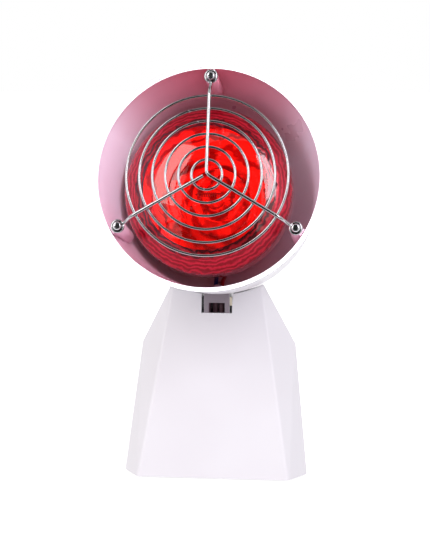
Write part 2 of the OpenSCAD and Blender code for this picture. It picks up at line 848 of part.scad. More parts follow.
module base_shell() {
  color(white) at_base() difference() {
    union() {
      difference() {
        wedge(0, foot_h);
        difference() {
          wedge(base_wall, foot_h - cut);
          saddle_space(saddle_gap + base_wall);
        }
      }
      hinge_ears();
      base_posts();
      post_ribs();
    }
    saddle_space(saddle_gap);
    slot_space(slot_w);
    both_sides() translate([slot_w / 2 - cut, pivot_y, pivot_z]) rotate([0, 90, 0])
      cylinder(d = pin_d + 2 * run, h = ear_t + pin_boss_len + 2 * cut);
    both_sides() for (p = posts) translate([p[0], p[1], stage_z - cut]) cylinder(d = pilot_d, h = 14);
    translate([-switch_body[0] / 2 - fit, base_depth - base_wall - 4, switch_z - switch_body[1] / 2 - fit])
      cube([switch_body[0] + 2 * fit, 12, switch_body[1] + 2 * fit]);
    translate([0, base_depth - base_wall - 4, gland_z]) rotate([-90, 0, 0]) cylinder(d = gland_d + 2 * fit, h = 12);
  }
}

module base_plate() {
  color(white) at_base() difference() {
    translate([0, 0, plate_z]) linear_extrude(plate_t) hull() foot_outline(base_wall + 1);
    both_sides() for (p = posts) translate([p[0], p[1], plate_z - cut]) cylinder(d = pilot_d, h = plate_t + 2 * cut);
    both_sides() for (p = foot_spots) translate([p[0], p[1], plate_z - cut]) cylinder(d = stem_d + 2 * run, h = plate_t + 2 * cut);
    for (s = [-1, 1]) translate([s * ballast_size[0] / 3, ballast_y, plate_z - cut]) cylinder(d = pilot_d, h = plate_t + 2 * cut);
    both_sides() for (p = posts) translate([p[0], p[1], plate_z - cut]) cylinder(d = head_d + 0.6, h = 1.2 + cut);
  }
}

module base_plate_screws() {
  color(steel) at_base() both_sides() for (p = posts)
    translate([p[0], p[1], plate_z + 1.2]) rotate([180, 0, 0]) pan_screw(12, high = 1.2);
}

module rubber_feet() {
  color(black) at_base() both_sides() for (p = foot_spots) translate([p[0], p[1], 0]) {
    cylinder(d = foot_d, h = plate_z - seat);
    cylinder(d = stem_d, h = stage_z);
  }
}

module ballast_plate() {
  color([0.45, 0.46, 0.48]) at_base() difference() {
    translate([-ballast_size[0] / 2, ballast_y - ballast_size[1] / 2, stage_z + seat])
      cube([ballast_size[0], ballast_size[1], ballast_t]);
    for (s = [-1, 1]) translate([s * ballast_size[0] / 3, ballast_y, stage_z - cut]) cylinder(d = pilot_d, h = ballast_t + 2 * cut);
  }
}

module ballast_screws() {
  color(steel) at_base() for (s = [-1, 1])
    translate([s * ballast_size[0] / 3, ballast_y, stage_z + seat + ballast_t]) pan_screw(ballast_t + plate_t);
}

// ---------------------------------------------------------------- hinge hardware

module pivot_pins() {
  inner = neck_hollow / 2 + 0.4;
  outer = slot_w / 2 + ear_t + pin_boss_len;
  color(steel) at_pivot() both_sides() {
    translate([inner, 0, 0]) rotate([0, 90, 0]) cylinder(d = pin_d, h = outer - inner + seat + eps);
    translate([outer + seat, 0, 0]) rotate([0, 90, 0]) difference() {
      cylinder(d = pin_head_d, h = pin_head_h);
      translate([-pin_head_d, -0.5, pin_head_h - 1]) cube([2 * pin_head_d, 1, 2]);
    }
  }
}

module friction_shims() {
  color(cream) at_pivot() both_sides() translate([(slot_w + neck_w) / 4, 0, 0]) difference() {
    side_profile(shim_t) union() {
      circle(d = shim_d);
      polygon([[-shim_d / 2, 0], [shim_d / 3, 0], [-neck_front + 5, shim_top], [-neck_front + 1, shim_top], [-neck_front + 1, shim_low]]);
    }
    rotate([0, 90, 0]) cylinder(d = pin_d + 4 * run, h = 4 * shim_t, center = true);
  }
}

// ---------------------------------------------------------------- wiring of the base

block_z = stage_z + seat;
block_top = block_z + block_size[2];

module terminal_block() {
  color(ceramic) at_base() difference() {
    translate([-block_size[0] / 2, block_y - block_size[1] / 2, block_z]) cube(block_size);
    for (s = [-1, 1]) translate([s * block_pole, block_y, block_top - 6]) cylinder(d = block_screw_d + 2 * run, h = 7);
    for (s = [-1, 1]) translate([s * block_pole, block_y - block_size[1] / 2 - cut, block_z + 5]) rotate([-90, 0, 0])
      cylinder(d = lead_d + 2 * run, h = 4 + cut);
  }
}

module terminal_screws() {
  color(brass) at_base() for (s = [-1, 1]) translate([s * block_pole, block_y, block_top - 6 + seat]) difference() {
    cylinder(d = block_screw_d, h = 5);
    translate([-block_screw_d, -0.4, 4]) cube([2 * block_screw_d, 0.8, 2]);
  }
}

// Both leads of the base end at the pivot, where the leads of the head take over
pivot_point = [0, pivot_y, pivot_z];
block_mouth_y = block_y - block_size[1] / 2 + 3.6;

module base_lead_blue() {
  color(blue) at_base() lead_tube([
    pivot_point + [-lead_x, 0, -1],
    pivot_point + [-lead_x, 0.6, -20],
    pivot_point + [-lead_x, 5, -32],
    [-5, 52, 50],
    [-block_pole, 76, 24],
    [-block_pole, block_mouth_y - 8, block_z + 5],
    [-block_pole, block_mouth_y, block_z + 5]
  ]);
}

blade_len = 5;
blade_end = base_depth - switch_depth - blade_len - 0.3;

module base_lead_red() {
  color(dark_red) at_base() lead_tube([
    pivot_point + [lead_x, 0, -1],
    pivot_point + [lead_x, 0.6, -20],
    pivot_point + [lead_x, 5, -32],
    [7, 56, 56],
    [blade_x, 92, 38],
    [blade_x, blade_end - seat, switch_z]
  ]);
}

module switch_link_lead() {
  color(black) at_base() lead_tube([
    [-blade_x, blade_end - seat, switch_z],
    [-blade_x - 1, 94, switch_z - 1],
    [block_pole - 9, 88, 26],
    [block_pole, 86, 14],
    [block_pole, block_mouth_y - 6, block_z + 5],
    [block_pole, block_mouth_y, block_z + 5]
  ]);
}

// ---------------------------------------------------------------- rocker switch, rear wall

module at_switch() {
  at_base() translate([0, base_depth, switch_z]) children();
}

module switch_frame() {
  inner_w = rocker_w + 0.6;
  inner_h = rocker_h + 0.6;
  color(black) at_switch() difference() {
    union() {
      translate([-switch_w / 2, seat, -switch_h / 2]) cube([switch_w, switch_bezel, switch_h]);
      translate([-switch_body[0] / 2, -switch_depth, -switch_body[1] / 2]) cube([switch_body[0], switch_depth + 1, switch_body[1]]);
    }
    translate([-inner_w / 2, -8, -inner_h / 2]) cube([inner_w, 20, inner_h]);
    translate([0, rocker_pivot, 0]) cylinder(d = rocker_pin_d + 2 * run, h = switch_body[1] - 0.5, center = true);
  }
}

module switch_rocker() {
  half = rocker_w / 2;
  color(black) at_switch() translate([0, rocker_pivot, 0]) rotate([0, 0, -rocker_travel / 2]) {
    translate([0, 0, -rocker_h / 2]) linear_extrude(rocker_h) polygon([
      [-half + 0.5, -1], [-half + 0.5, 2.2], [0, 3.4], [half - 0.5, 2.2], [half - 0.5, -1], [2.6, -4], [-2.6, -4]
    ]);
    cylinder(d = rocker_pin_d, h = switch_body[1] - 0.8, center = true);
  }
}

module switch_blades() {
  color(brass) at_switch() for (s = [-1, 1])
    translate([s * blade_x - 2.4, -switch_depth - seat - blade_len, -0.4]) cube([4.8, blade_len, 0.8]);
}

// ---------------------------------------------------------------- inlet gland, rear wall

module cord_gland() {
  color(black) at_base() translate([0, base_depth, gland_z]) rotate([-90, 0, 0]) difference() {
    union() {
      translate([0, 0, -base_wall - nut_t - 2]) cylinder(d = gland_d, h = base_wall + nut_t + 3);
      translate([0, 0, seat]) cylinder(d = gland_flange, h = 2);
      translate([0, 0, 2]) cylinder(d1 = gland_d + 1.6, d2 = gland_d, h = gland_tail - 2);
    }
    translate([0, 0, -base_wall - nut_t - 3]) cylinder(d = inlet_lead_d, h = gland_tail + base_wall + nut_t + 4);
  }
}

module gland_nut() {
  color(black) at_base() translate([0, base_depth - base_wall - seat - nut_t, gland_z]) rotate([-90, 0, 0]) difference() {
    cylinder(d = gland_flange + 2, h = nut_t, $fn = 6);
    translate([0, 0, -cut]) cylinder(d = gland_d + 2 * run, h = nut_t + 2 * cut);
  }
}

shade();
rear_cap();
rear_cap_screws();
guard_rings();
guard_long_spoke();
guard_short_spoke();
guard_screws();
bulb_front_glass();
bulb_reflector();
bulb_neck_glass();
bulb_stem();
bulb_filament();
bulb_screw_cap();
bulb_cap_insulator();
bulb_cap_contact();
holder_ceramic();
holder_thread_shell();
holder_contact();
holder_terminals();
holder_bracket();
holder_screws();
bracket_screws();
neck();
neck_screws();
head_lead_blue();
head_lead_red();
base_shell();
base_plate();
base_plate_screws();
rubber_feet();
ballast_plate();
ballast_screws();
pivot_pins();
friction_shims();
terminal_block();
terminal_screws();
base_lead_blue();
base_lead_red();
switch_link_lead();
switch_frame();
switch_rocker();
switch_blades();
cord_gland();
gland_nut();
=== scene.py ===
# %% [markdown]
# An infrared heat lamp in Blender. The CAD model gives every size and every joint. This file gives
# the looks: it loads that model as a fixed frame, builds smoother pieces where the CAD nodes are
# only plain, and gives each surface its finish.

# %% Load the frame
import json
import math

import bmesh
import bpy
from mathutils import Matrix, Vector


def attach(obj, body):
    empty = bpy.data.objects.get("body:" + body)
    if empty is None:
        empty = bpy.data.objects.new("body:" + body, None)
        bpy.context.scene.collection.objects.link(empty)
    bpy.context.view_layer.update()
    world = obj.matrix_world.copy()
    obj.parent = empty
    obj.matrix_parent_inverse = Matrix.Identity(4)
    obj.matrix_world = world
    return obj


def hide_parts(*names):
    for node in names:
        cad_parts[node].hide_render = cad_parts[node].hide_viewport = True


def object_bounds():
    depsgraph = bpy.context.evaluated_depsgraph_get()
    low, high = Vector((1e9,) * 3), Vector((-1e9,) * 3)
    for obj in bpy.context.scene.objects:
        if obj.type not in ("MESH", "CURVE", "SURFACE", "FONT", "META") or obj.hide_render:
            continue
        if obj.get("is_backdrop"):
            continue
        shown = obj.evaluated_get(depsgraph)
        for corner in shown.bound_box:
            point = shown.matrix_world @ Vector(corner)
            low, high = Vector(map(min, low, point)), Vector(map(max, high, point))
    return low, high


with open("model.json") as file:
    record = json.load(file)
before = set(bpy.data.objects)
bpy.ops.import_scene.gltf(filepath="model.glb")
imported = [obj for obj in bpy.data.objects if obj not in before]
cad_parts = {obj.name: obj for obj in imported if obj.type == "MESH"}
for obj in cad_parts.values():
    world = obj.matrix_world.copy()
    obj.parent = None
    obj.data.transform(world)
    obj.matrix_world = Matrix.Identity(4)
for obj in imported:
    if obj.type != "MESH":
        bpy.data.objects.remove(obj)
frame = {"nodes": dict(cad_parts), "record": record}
cad_low, cad_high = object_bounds()
NODES = frame["nodes"]
print("CAD nodes:", len(NODES), "height in mm:", round(1000 * (cad_high - cad_low).z, 1))

# %% [markdown]
# The shade, its guard and the bulb are all turned about one axis that looks up by 16 degrees, so
# they are modelled in a frame of their own: the mouth lies in z = 0, +Z points out of it and +Y is
# up. The hinge's pivot lies below that axis and behind the mouth. All lengths are typed in
# millimetres, as on a drawing, and a matrix takes each finished mesh to metres and to its place.

# %% The frames that the pieces are drawn in
MM = Matrix.Scale(0.001, 4)
HEAD_TILT = 16.0
PIVOT = Vector((0.0, -16.4469, 109.0))
PIVOT_DROP, PIVOT_DEPTH = 85.4, 96.0
BASE_Y = -61.0469
BULB_LEAN = 2.7
CONTACT_DEPTH = 166.0


def turn(degrees, axis):
    return Matrix.Rotation(math.radians(degrees), 4, axis)


def shift(x, y, z):
    return Matrix.Translation((x, y, z))


def rigid(matrix):
    """The same place and direction without the scale."""
    return Matrix.Translation(matrix @ Vector((0, 0, 0))) @ matrix.to_quaternion().to_matrix().to_4x4()


TO_BASE = MM @ shift(0, BASE_Y, 0)
TO_PIVOT = MM @ Matrix.Translation(PIVOT)
TO_HEAD = TO_PIVOT @ turn(90 - HEAD_TILT, "X") @ shift(0, PIVOT_DROP, PIVOT_DEPTH)
TO_BULB = TO_HEAD @ shift(0, 0, -CONTACT_DEPTH) @ turn(-BULB_LEAN, "Y")
mouth = TO_HEAD @ Vector((0, 0, 0))
print("middle of the mouth in mm:", [round(1000 * v, 1) for v in mouth])

# %% [markdown]
# Every finish here is a small node tree. One helper makes the tree with its Principled shader and
# sets the plain sockets, and others add noise for colour, roughness and bump. The noise reads
# Object coordinates, so it sits still on the piece when the lamp tilts. Rings and gradients read
# them too, turned into the frame of the head or the bulb.

# %% Helpers for finishes
FINISHES = {}


def new_finish(name, colour, roughness, metallic=0.0, **sockets):
    material = bpy.data.materials.new(name)
    material.use_nodes = True
    shader = material.node_tree.nodes["Principled BSDF"]
    shader.inputs["Base Color"].default_value = (*colour, 1)
    shader.inputs["Roughness"].default_value = roughness
    shader.inputs["Metallic"].default_value = metallic
    for socket, value in sockets.items():
        shader.inputs[socket.replace("_", " ")].default_value = value
    FINISHES[name] = material
    return material


def add(material, kind, **settings):
    node = material.node_tree.nodes.new(kind)
    for key, value in settings.items():
        if key in node.inputs:
            node.inputs[key].default_value = value
        else:
            setattr(node, key, value)
    return node


def link(material, a, out, b, into):
    material.node_tree.links.new(a.outputs[out], b.inputs[into])


def shader_of(material):
    return material.node_tree.nodes["Principled BSDF"]


def object_space(material, **mapped):
    """The piece's own coordinates, moved by a mapping."""
    place = add(material, "ShaderNodeTexCoord")
    mapping = add(material, "ShaderNodeMapping", **mapped)
    link(material, place, "Object", mapping, "Vector")
    return mapping


def axis_space(material, to_axis):
    """Coordinates in the frame that to_axis leads to."""
    back = to_axis.inverted()
    return object_space(material, Rotation=back.to_euler(), Location=back.translation)


def noise_of(material, scale, detail=3.0, stretch=(1, 1, 1)):
    noise = add(material, "ShaderNodeTexNoise", Scale=scale, Detail=detail)
    link(material, object_space(material, Scale=stretch), "Vector", noise, "Vector")
    return noise


def ring_waves(material, scale, distortion, to_axis):
    """Fine rings round an axis, as a turned or drawn surface has them."""
    wave = add(
        material, "ShaderNodeTexWave", wave_type="RINGS", rings_direction="Z",
        **{"Scale": scale, "Distortion": distortion, "Detail": 3.0, "Detail Scale": 1.2},
    )
    link(material, axis_space(material, to_axis), "Vector", wave, "Vector")
    return wave


def across(material, to_axis, size):
    """A value from 0 to 1 along the frame's Y, over a width of size metres about its middle."""
    parts = add(material, "ShaderNodeSeparateXYZ")
    spread = add(material, "ShaderNodeMapRange", **{"From Min": -size / 2, "From Max": size / 2})
    link(material, axis_space(material, to_axis), "Vector", parts, "Vector")
    link(material, parts, "Y", spread, "Value")
    return spread


def vary_colour(material, noise, dark, light, low=0.35, high=0.65, socket="Base Color"):
    ramp = add(material, "ShaderNodeValToRGB")
    ramp.color_ramp.elements[0].position = low
    ramp.color_ramp.elements[1].position = high
    ramp.color_ramp.elements[0].color = (*dark, 1)
    ramp.color_ramp.elements[1].color = (*light, 1)
    link(material, noise, "Fac", ramp, "Fac")
    link(material, ramp, "Color", shader_of(material), socket)


def vary_roughness(material, noise, low, high):
    limits = {"From Min": 0.3, "From Max": 0.7, "To Min": low, "To Max": high}
    spread = add(material, "ShaderNodeMapRange", **limits)
    link(material, noise, "Fac", spread, "Value")
    link(material, spread, "Result", shader_of(material), "Roughness")


def add_bump(material, noise, strength, distance):
    bump = add(material, "ShaderNodeBump", Strength=strength, Distance=distance)
    link(material, noise, "Fac", bump, "Height")
    link(material, bump, "Normal", shader_of(material), "Normal")


print("finish helpers ready")

# %% [markdown]
# The shade and the base are one white plastic, moulded with a soft gloss. Its surface is never
# quite flat: a very fine grain and a slow waviness break up the reflections.

# %% White moulded plastic
white = new_finish("white_shell", (0.88, 0.855, 0.895), 0.36, IOR=1.46)
grain = noise_of(white, 900.0, 2.0)
add_bump(white, grain, 0.05, 0.0002)
waves = noise_of(white, 14.0, 2.0)
vary_roughness(white, waves, 0.32, 0.42)
vary_colour(white, waves, (0.87, 0.84, 0.88), (0.89, 0.865, 0.905))
print("white:", white.name)

# %% [markdown]
# The inside of the shade is the same plastic, with light and shade painted into its colour: the red
# light that the bulb throws back, and shade at the bottom and under the upper edge. Its colour runs
# from the bottom of the mouth to the top: deep pink, nearly white a little above the middle, and red
# under the upper edge. Three dull tones are painted shadows that soft light would fill: the hollow
# of the neck, the front of the neck, and the groove and the outer edge of the lip.

# %% The shade's inside and the shadows
inside = new_finish("shade_inside_painted_light", (0.78, 0.60, 0.69), 0.30, IOR=1.46)
streaks = noise_of(inside, 30.0, 3.0, (1, 0.25, 1))
vary_roughness(inside, streaks, 0.26, 0.38)
MOUTH_WIDTH = 0.156
FIRST_STOP, LAST_STOP = (0.04, (0.46, 0.19, 0.27, 1)), (1.0, (0.52, 0.11, 0.165, 1))
BETWEEN = {
    0.22: (0.66, 0.38, 0.49),
    0.42: (0.76, 0.59, 0.73),
    0.70: (0.84, 0.70, 0.84),
    0.88: (0.62, 0.29, 0.38),
}
# Painted light and shade: this ramp across the mouth's height is darker at the bottom and the top.
glow = add(inside, "ShaderNodeValToRGB")
stops = glow.color_ramp.elements
stops[0].position, stops[0].color = FIRST_STOP
stops[1].position, stops[1].color = LAST_STOP
for position, colour in BETWEEN.items():
    stops.new(position).color = (*colour, 1)
link(inside, across(inside, rigid(TO_HEAD), MOUTH_WIDTH), "Result", glow, "Fac")
link(inside, glow, "Color", shader_of(inside), "Base Color")
# Painted shade: dull dark tones for the neck's hollow, the neck's front and the lip's groove and edge.
hollow = new_finish("neck_hollow", (0.30, 0.19, 0.24), 0.5)
vary_roughness(hollow, noise_of(hollow, 200.0), 0.4, 0.6)
shaded = new_finish("neck_front", (0.31, 0.26, 0.30), 0.4)
vary_roughness(shaded, noise_of(shaded, 90.0), 0.36, 0.44)
painted_lip_shade = new_finish("painted_lip_shade", (0.24, 0.23, 0.25), 0.4)
vary_roughness(painted_lip_shade, noise_of(painted_lip_shade, 90.0), 0.36, 0.44)
print("shade and shadows:", [m.name for m in (inside, hollow, shaded, painted_lip_shade)])

# %% [markdown]
# The guard is bright chromed wire, the screws are zinc plated. Chrome shows its surroundings, so
# it needs little more than a faint change of roughness. Zinc is duller and slightly patchy.

# %% Metals
chrome = new_finish("guard_wire", (0.44, 0.44, 0.45), 0.10, 1.0)
vary_roughness(chrome, noise_of(chrome, 120.0), 0.08, 0.18)
zinc = new_finish("screw_steel", (0.55, 0.55, 0.57), 0.18, 1.0)
vary_roughness(zinc, noise_of(zinc, 300.0), 0.12, 0.24)
plated = new_finish("plated_steel", (0.62, 0.62, 0.60), 0.35, 1.0)
patches = noise_of(plated, 60.0)
vary_roughness(plated, patches, 0.28, 0.45)
vary_colour(plated, patches, (0.56, 0.56, 0.54), (0.68, 0.68, 0.67))
brass = new_finish("brass", (0.75, 0.58, 0.28), 0.3, 1.0)
tarnish = noise_of(brass, 80.0)
vary_roughness(brass, tarnish, 0.22, 0.42)
vary_colour(brass, tarnish, (0.66, 0.48, 0.22), (0.80, 0.63, 0.33))
tungsten = new_finish("filament", (0.35, 0.35, 0.36), 0.4, 1.0)
vary_roughness(tungsten, noise_of(tungsten, 400.0), 0.3, 0.5)
iron = new_finish("ballast", (0.22, 0.22, 0.23), 0.55)
add_bump(iron, noise_of(iron, 220.0, 6.0), 0.3, 0.0004)
print("metals ready")

# %% [markdown]
# The bulb is red glass. The middle of its front dome is clear, so that the mirrored bowl behind it
# shows. Towards the rim the mirror coating runs on under the glass, and there it looks like crimson
# foil with fine rings, first a darker band and then a brighter one. The bowl itself is a mirror
# seen through red glass, and it is not perfectly smooth: slow waves in it bend what it shows. Swirl
# rings from dark red to pale are painted into its colour and its glow as painted reflections, and
# its red glow of its own is painted light for the light that it gathers through the glass, which a
# path tracer finds hard. The bowl's outside, inside the shade, is a plainer red.

# %% Red glass, foil and mirror
red_glass = new_finish("red_glass", (0.92, 0.05, 0.045), 0.02, Transmission_Weight=1.0, IOR=1.5)
add_bump(red_glass, noise_of(red_glass, 25.0, 1.0), 0.05, 0.001)
BULB_AXIS = rigid(TO_BULB)
UNDER_GLASS = {"Coat_Weight": 1.0, "Coat_Roughness": 0.03}
foil = new_finish("red_foil", (0.50, 0.01, 0.03), 0.22, 0.35, **UNDER_GLASS)
rings = ring_waves(foil, 120.0, 6.5, BULB_AXIS)
vary_colour(foil, rings, (0.34, 0.004, 0.014), (0.78, 0.016, 0.045), 0.2, 0.95)
add_bump(foil, rings, 0.25, 0.0004)
dark_foil = new_finish("dark_red_foil", (0.22, 0.004, 0.012), 0.15, 0.4, **UNDER_GLASS)
dark_rings = ring_waves(dark_foil, 90.0, 9.0, BULB_AXIS)
vary_colour(dark_foil, dark_rings, (0.10, 0.002, 0.006), (0.48, 0.01, 0.02), 0.3, 0.95)
add_bump(dark_foil, dark_rings, 0.2, 0.0004)
mirror = new_finish("red_mirror_glass", (0.92, 0.62, 0.55), 0.06, 1.0)
# Painted reflection: swirl rings in the mirror's colour and glow; the glow itself is painted light.
painted_reflection_swirl = ring_waves(mirror, 38.0, 12.0, BULB_AXIS)
add_bump(mirror, noise_of(mirror, 26.0, 1.0), 0.8, 0.005)
vary_colour(mirror, painted_reflection_swirl, (0.30, 0.02, 0.02), (1.0, 0.90, 0.80), 0.08, 0.42)
vary_colour(mirror, painted_reflection_swirl, (0.30, 0.005, 0.008), (1.0, 0.13, 0.08), 0.12, 0.80, "Emission Color")
shader_of(mirror).inputs["Emission Strength"].default_value = 0.46
red_back = new_finish(
    "red_mirror_outside", (0.60, 0.02, 0.04), 0.12, 0.6, Coat_Weight=1.0, Coat_Roughness=0.04
)
vary_roughness(red_back, noise_of(red_back, 40.0), 0.10, 0.2)
clear = new_finish("clear_glass", (0.9, 0.93, 0.93), 0.03, Transmission_Weight=1.0, IOR=1.5)
add_bump(clear, noise_of(clear, 60.0), 0.05, 0.0005)
black_glass = new_finish("black_glass", (0.02, 0.02, 0.025), 0.15)
vary_roughness(black_glass, noise_of(black_glass, 200.0), 0.1, 0.25)
print("bulb finishes ready")

# %% [markdown]
# The rest are small parts: glazed ceramic, rubber, nylon, black plastic and the sleeves of the
# leads, with the cover that they have in the hinge. Each gets a little noise at the scale that the
# real one has.

# %% Small parts' finishes
ceramic = new_finish("ceramic", (0.86, 0.84, 0.78), 0.18, Coat_Weight=0.6, Coat_Roughness=0.06)
add_bump(ceramic, noise_of(ceramic, 150.0), 0.08, 0.0003)
rubber = new_finish("rubber", (0.035, 0.035, 0.036), 0.75)
add_bump(rubber, noise_of(rubber, 700.0, 4.0), 0.35, 0.0003)
nylon = new_finish("cream_nylon", (0.80, 0.71, 0.55), 0.45)
vary_colour(nylon, noise_of(nylon, 60.0), (0.74, 0.64, 0.48), (0.84, 0.76, 0.61))
satin_black = new_finish("black_plastic", (0.03, 0.03, 0.032), 0.42)
add_bump(satin_black, noise_of(satin_black, 1100.0, 2.0), 0.2, 0.0002)


def sleeve(name, dark, light):
    material = new_finish(name, light, 0.45)
    weave = noise_of(material, 500.0, 2.0)
    vary_colour(material, weave, dark, light, 0.3, 0.7)
    add_bump(material, weave, 0.2, 0.0002)
    return material


sleeve("lead_blue", (0.012, 0.022, 0.12), (0.025, 0.04, 0.2))
sleeve("lead_red", (0.25, 0.006, 0.012), (0.42, 0.012, 0.02))
sleeve("lead_black", (0.02, 0.02, 0.02), (0.05, 0.05, 0.05))
# The lead cover's dull mauve is painted shade.
sleeve("lead_cover", (0.16, 0.085, 0.11), (0.24, 0.13, 0.16))
print("finishes:", len(FINISHES))

# %% [markdown]
# Each node of the frame gets the finish of its slot in the record. The node's own mesh is not
# touched, only its material slots.

# %% Dress the CAD nodes
slot_of = {row["node"]: row["material_slot"] for row in frame["record"]["subparts"]}
for name, node in NODES.items():
    node.data.materials.clear()
    node.data.materials.append(FINISHES[slot_of[name]])
print("dressed", len(NODES), "nodes")

# %% [markdown]
# New pieces start as a bmesh. These helpers put a finished mesh in its place, smooth it, put it on
# the body that its nodes ride on, and hide the nodes that it stands for.

# %% Helpers for pieces
bodies = frame["record"]["behaviour"]["bodies"]
body_of_node = {node: body for body, nodes in bodies.items() for node in nodes}


def smooth_by_angle(mesh, degrees=35.0):
    mesh.polygons.foreach_set("use_smooth", [True] * len(mesh.polygons))
    mesh.set_sharp_from_angle(angle=math.radians(degrees))


def to_object(bm, name, place, finishes):
    bmesh.ops.remove_doubles(bm, verts=bm.verts, dist=1e-4)
    bmesh.ops.transform(bm, matrix=place, verts=bm.verts)
    bmesh.ops.recalc_face_normals(bm, faces=bm.faces)
    mesh = bpy.data.meshes.new(name)
    bm.to_mesh(mesh)
    bm.free()
    for finish in finishes:
        mesh.materials.append(finish)
    piece = bpy.data.objects.new(name, mesh)
    bpy.context.collection.objects.link(piece)
    return piece


def settle(piece, *nodes, angle=35.0):
    """The piece stands for these nodes and rides on their body."""
    if angle:
        smooth_by_angle(piece.data, angle)
    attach(piece, body_of_node[nodes[0]])
    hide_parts(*nodes)
    print(piece.name, "faces:", len(piece.data.polygons))
    return piece


def apply_modifiers(piece):
    bpy.context.view_layer.update()
    live = bpy.context.evaluated_depsgraph_get()
    mesh = bpy.data.meshes.new_from_object(piece.evaluated_get(live), depsgraph=live)
    old = piece.data
    piece.modifiers.clear()
    piece.data = mesh
    mesh.name = piece.name
    bpy.data.meshes.remove(old)


def carve(piece, tool, operation="DIFFERENCE"):
    """Cuts the tool out of the piece, or joins it on, and throws the tool away."""
    modifier = piece.modifiers.new(operation.lower(), "BOOLEAN")
    modifier.operation = operation
    modifier.solver = "EXACT"
    modifier.object = tool
    apply_modifiers(piece)
    bpy.data.objects.remove(tool)


def round_edges(piece, width, segments=2, angle=40.0):
    """Breaks the sharp edges, as a mould does, and keeps the flats flat."""
    bevel = piece.modifiers.new("rounding", "BEVEL")
    bevel.width = width
    bevel.segments = segments
    bevel.limit_method = "ANGLE"
    bevel.angle_limit = math.radians(angle)
    bevel.harden_normals = False
    bevel.use_clamp_overlap = True
    apply_modifiers(piece)


def keep_flats_flat(piece, angle):
    """Shades a flat panel as flat, right up to its rounded edges."""
    smooth_by_angle(piece.data, angle)
    weights = piece.modifiers.new("weights", "WEIGHTED_NORMAL")
    weights.keep_sharp = True
    apply_modifiers(piece)


def lathe(profile, steps=128, closed=True):
    """Spins a profile of (radius, height) about Z into a bmesh."""
    bm = bmesh.new()
    points = [bm.verts.new((radius, 0, height)) for radius, height in profile]
    edges = [bm.edges.new(pair) for pair in zip(points, points[1:])]
    if closed:
        edges.append(bm.edges.new((points[-1], points[0])))
    bmesh.ops.spin(
        bm, geom=points + edges, cent=(0, 0, 0), axis=(0, 0, 1), angle=math.tau, steps=steps,
        use_merge=True,
    )
    bmesh.ops.remove_doubles(bm, verts=bm.verts, dist=1e-4)
    return bm


def rod(bm, a, b, radius, sides=24):
    """A closed cylinder from a to b."""
    a, b = Vector(a), Vector(b)
    way = (b - a).to_track_quat("Z", "Y").to_matrix().to_4x4()
    bmesh.ops.create_cone(
        bm, cap_ends=True, segments=sides, radius1=radius, radius2=radius, depth=(b - a).length,
        matrix=Matrix.Translation((a + b) / 2) @ way,
    )


def block(bm, low, high, turned=Matrix.Identity(4)):
    """A box between two corners, turned about the origin."""
    low, high = Vector(low), Vector(high)
    size = Matrix.Diagonal((*(high - low), 1))
    bmesh.ops.create_cube(bm, size=1.0, matrix=turned @ Matrix.Translation((low + high) / 2) @ size)


def arc(centre, radius_x, radius_z, start, end, steps):
    """Points of a profile along an ellipse, from one angle to the other."""
    return [
        (centre[0] + radius_x * math.cos(math.radians(start + (end - start) * i / steps)),
         centre[1] + radius_z * math.sin(math.radians(start + (end - start) * i / steps)))
        for i in range(steps + 1)
    ]


print("piece helpers ready")

# %% [markdown]
# The shade is a turned shell: a drum that narrows a little, a rounded bowl and a straight rear
# housing. Its mouth has a rounded lip with a fine groove. Spinning one closed profile gives the
# wall its thickness at once. Three bosses for the guard's screws are joined on, and the vent slots
# and the hole for the leads are cut out.

# %% The shade's profile
MOUTH_R, WALL, DRUM, DRUM_DRAFT = 79.0, 2.4, 66.0, 7.8
BOWL, HOUSING_R, HOUSING_END = 126.0, 38.0, 184.0
LEAD_IN = 16.0
BOWL_HALF = BOWL - DRUM + LEAD_IN
BOWL_TURN = math.degrees(math.asin(LEAD_IN / BOWL_HALF))
BOWL_RISE = (MOUTH_R - DRUM_DRAFT - HOUSING_R) / math.cos(math.radians(BOWL_TURN))


def bowl_arc(wall, steps=40):
    return arc((HOUSING_R - wall, LEAD_IN - DRUM), BOWL_RISE, wall - BOWL_HALF, BOWL_TURN, 90, steps)


def inner_r(depth):
    return MOUTH_R - DRUM_DRAFT * depth / DRUM - WALL


LIP_R, LIP_ROUND, REAR_CHAMFER = 75.9, 1.2, 0.4
GROOVE = [(76.55, 0.0), (76.62, -0.45), (77.15, -0.45), (77.22, 0.0)]
outer = [(LIP_R, -0.5)] + arc((76.4, -0.5), 0.5, 0.5, 180, 90, 4)[1:] + GROOVE
outer += arc((77.8, -LIP_ROUND), LIP_ROUND, LIP_ROUND, 90, 0, 6) + bowl_arc(0)
outer += [(HOUSING_R, -HOUSING_END + REAR_CHAMFER), (HOUSING_R - REAR_CHAMFER, -HOUSING_END)]
inner = [(LIP_R, -6.0), (inner_r(7.0), -7.0)] + bowl_arc(WALL)
inner += [(HOUSING_R - WALL, -HOUSING_END)]
shade_profile = outer + inner[::-1]
shade = to_object(lathe(shade_profile, 160), "shade_shell", TO_HEAD, [white, inside, painted_lip_shade])
print("shade profile points:", len(shade_profile))

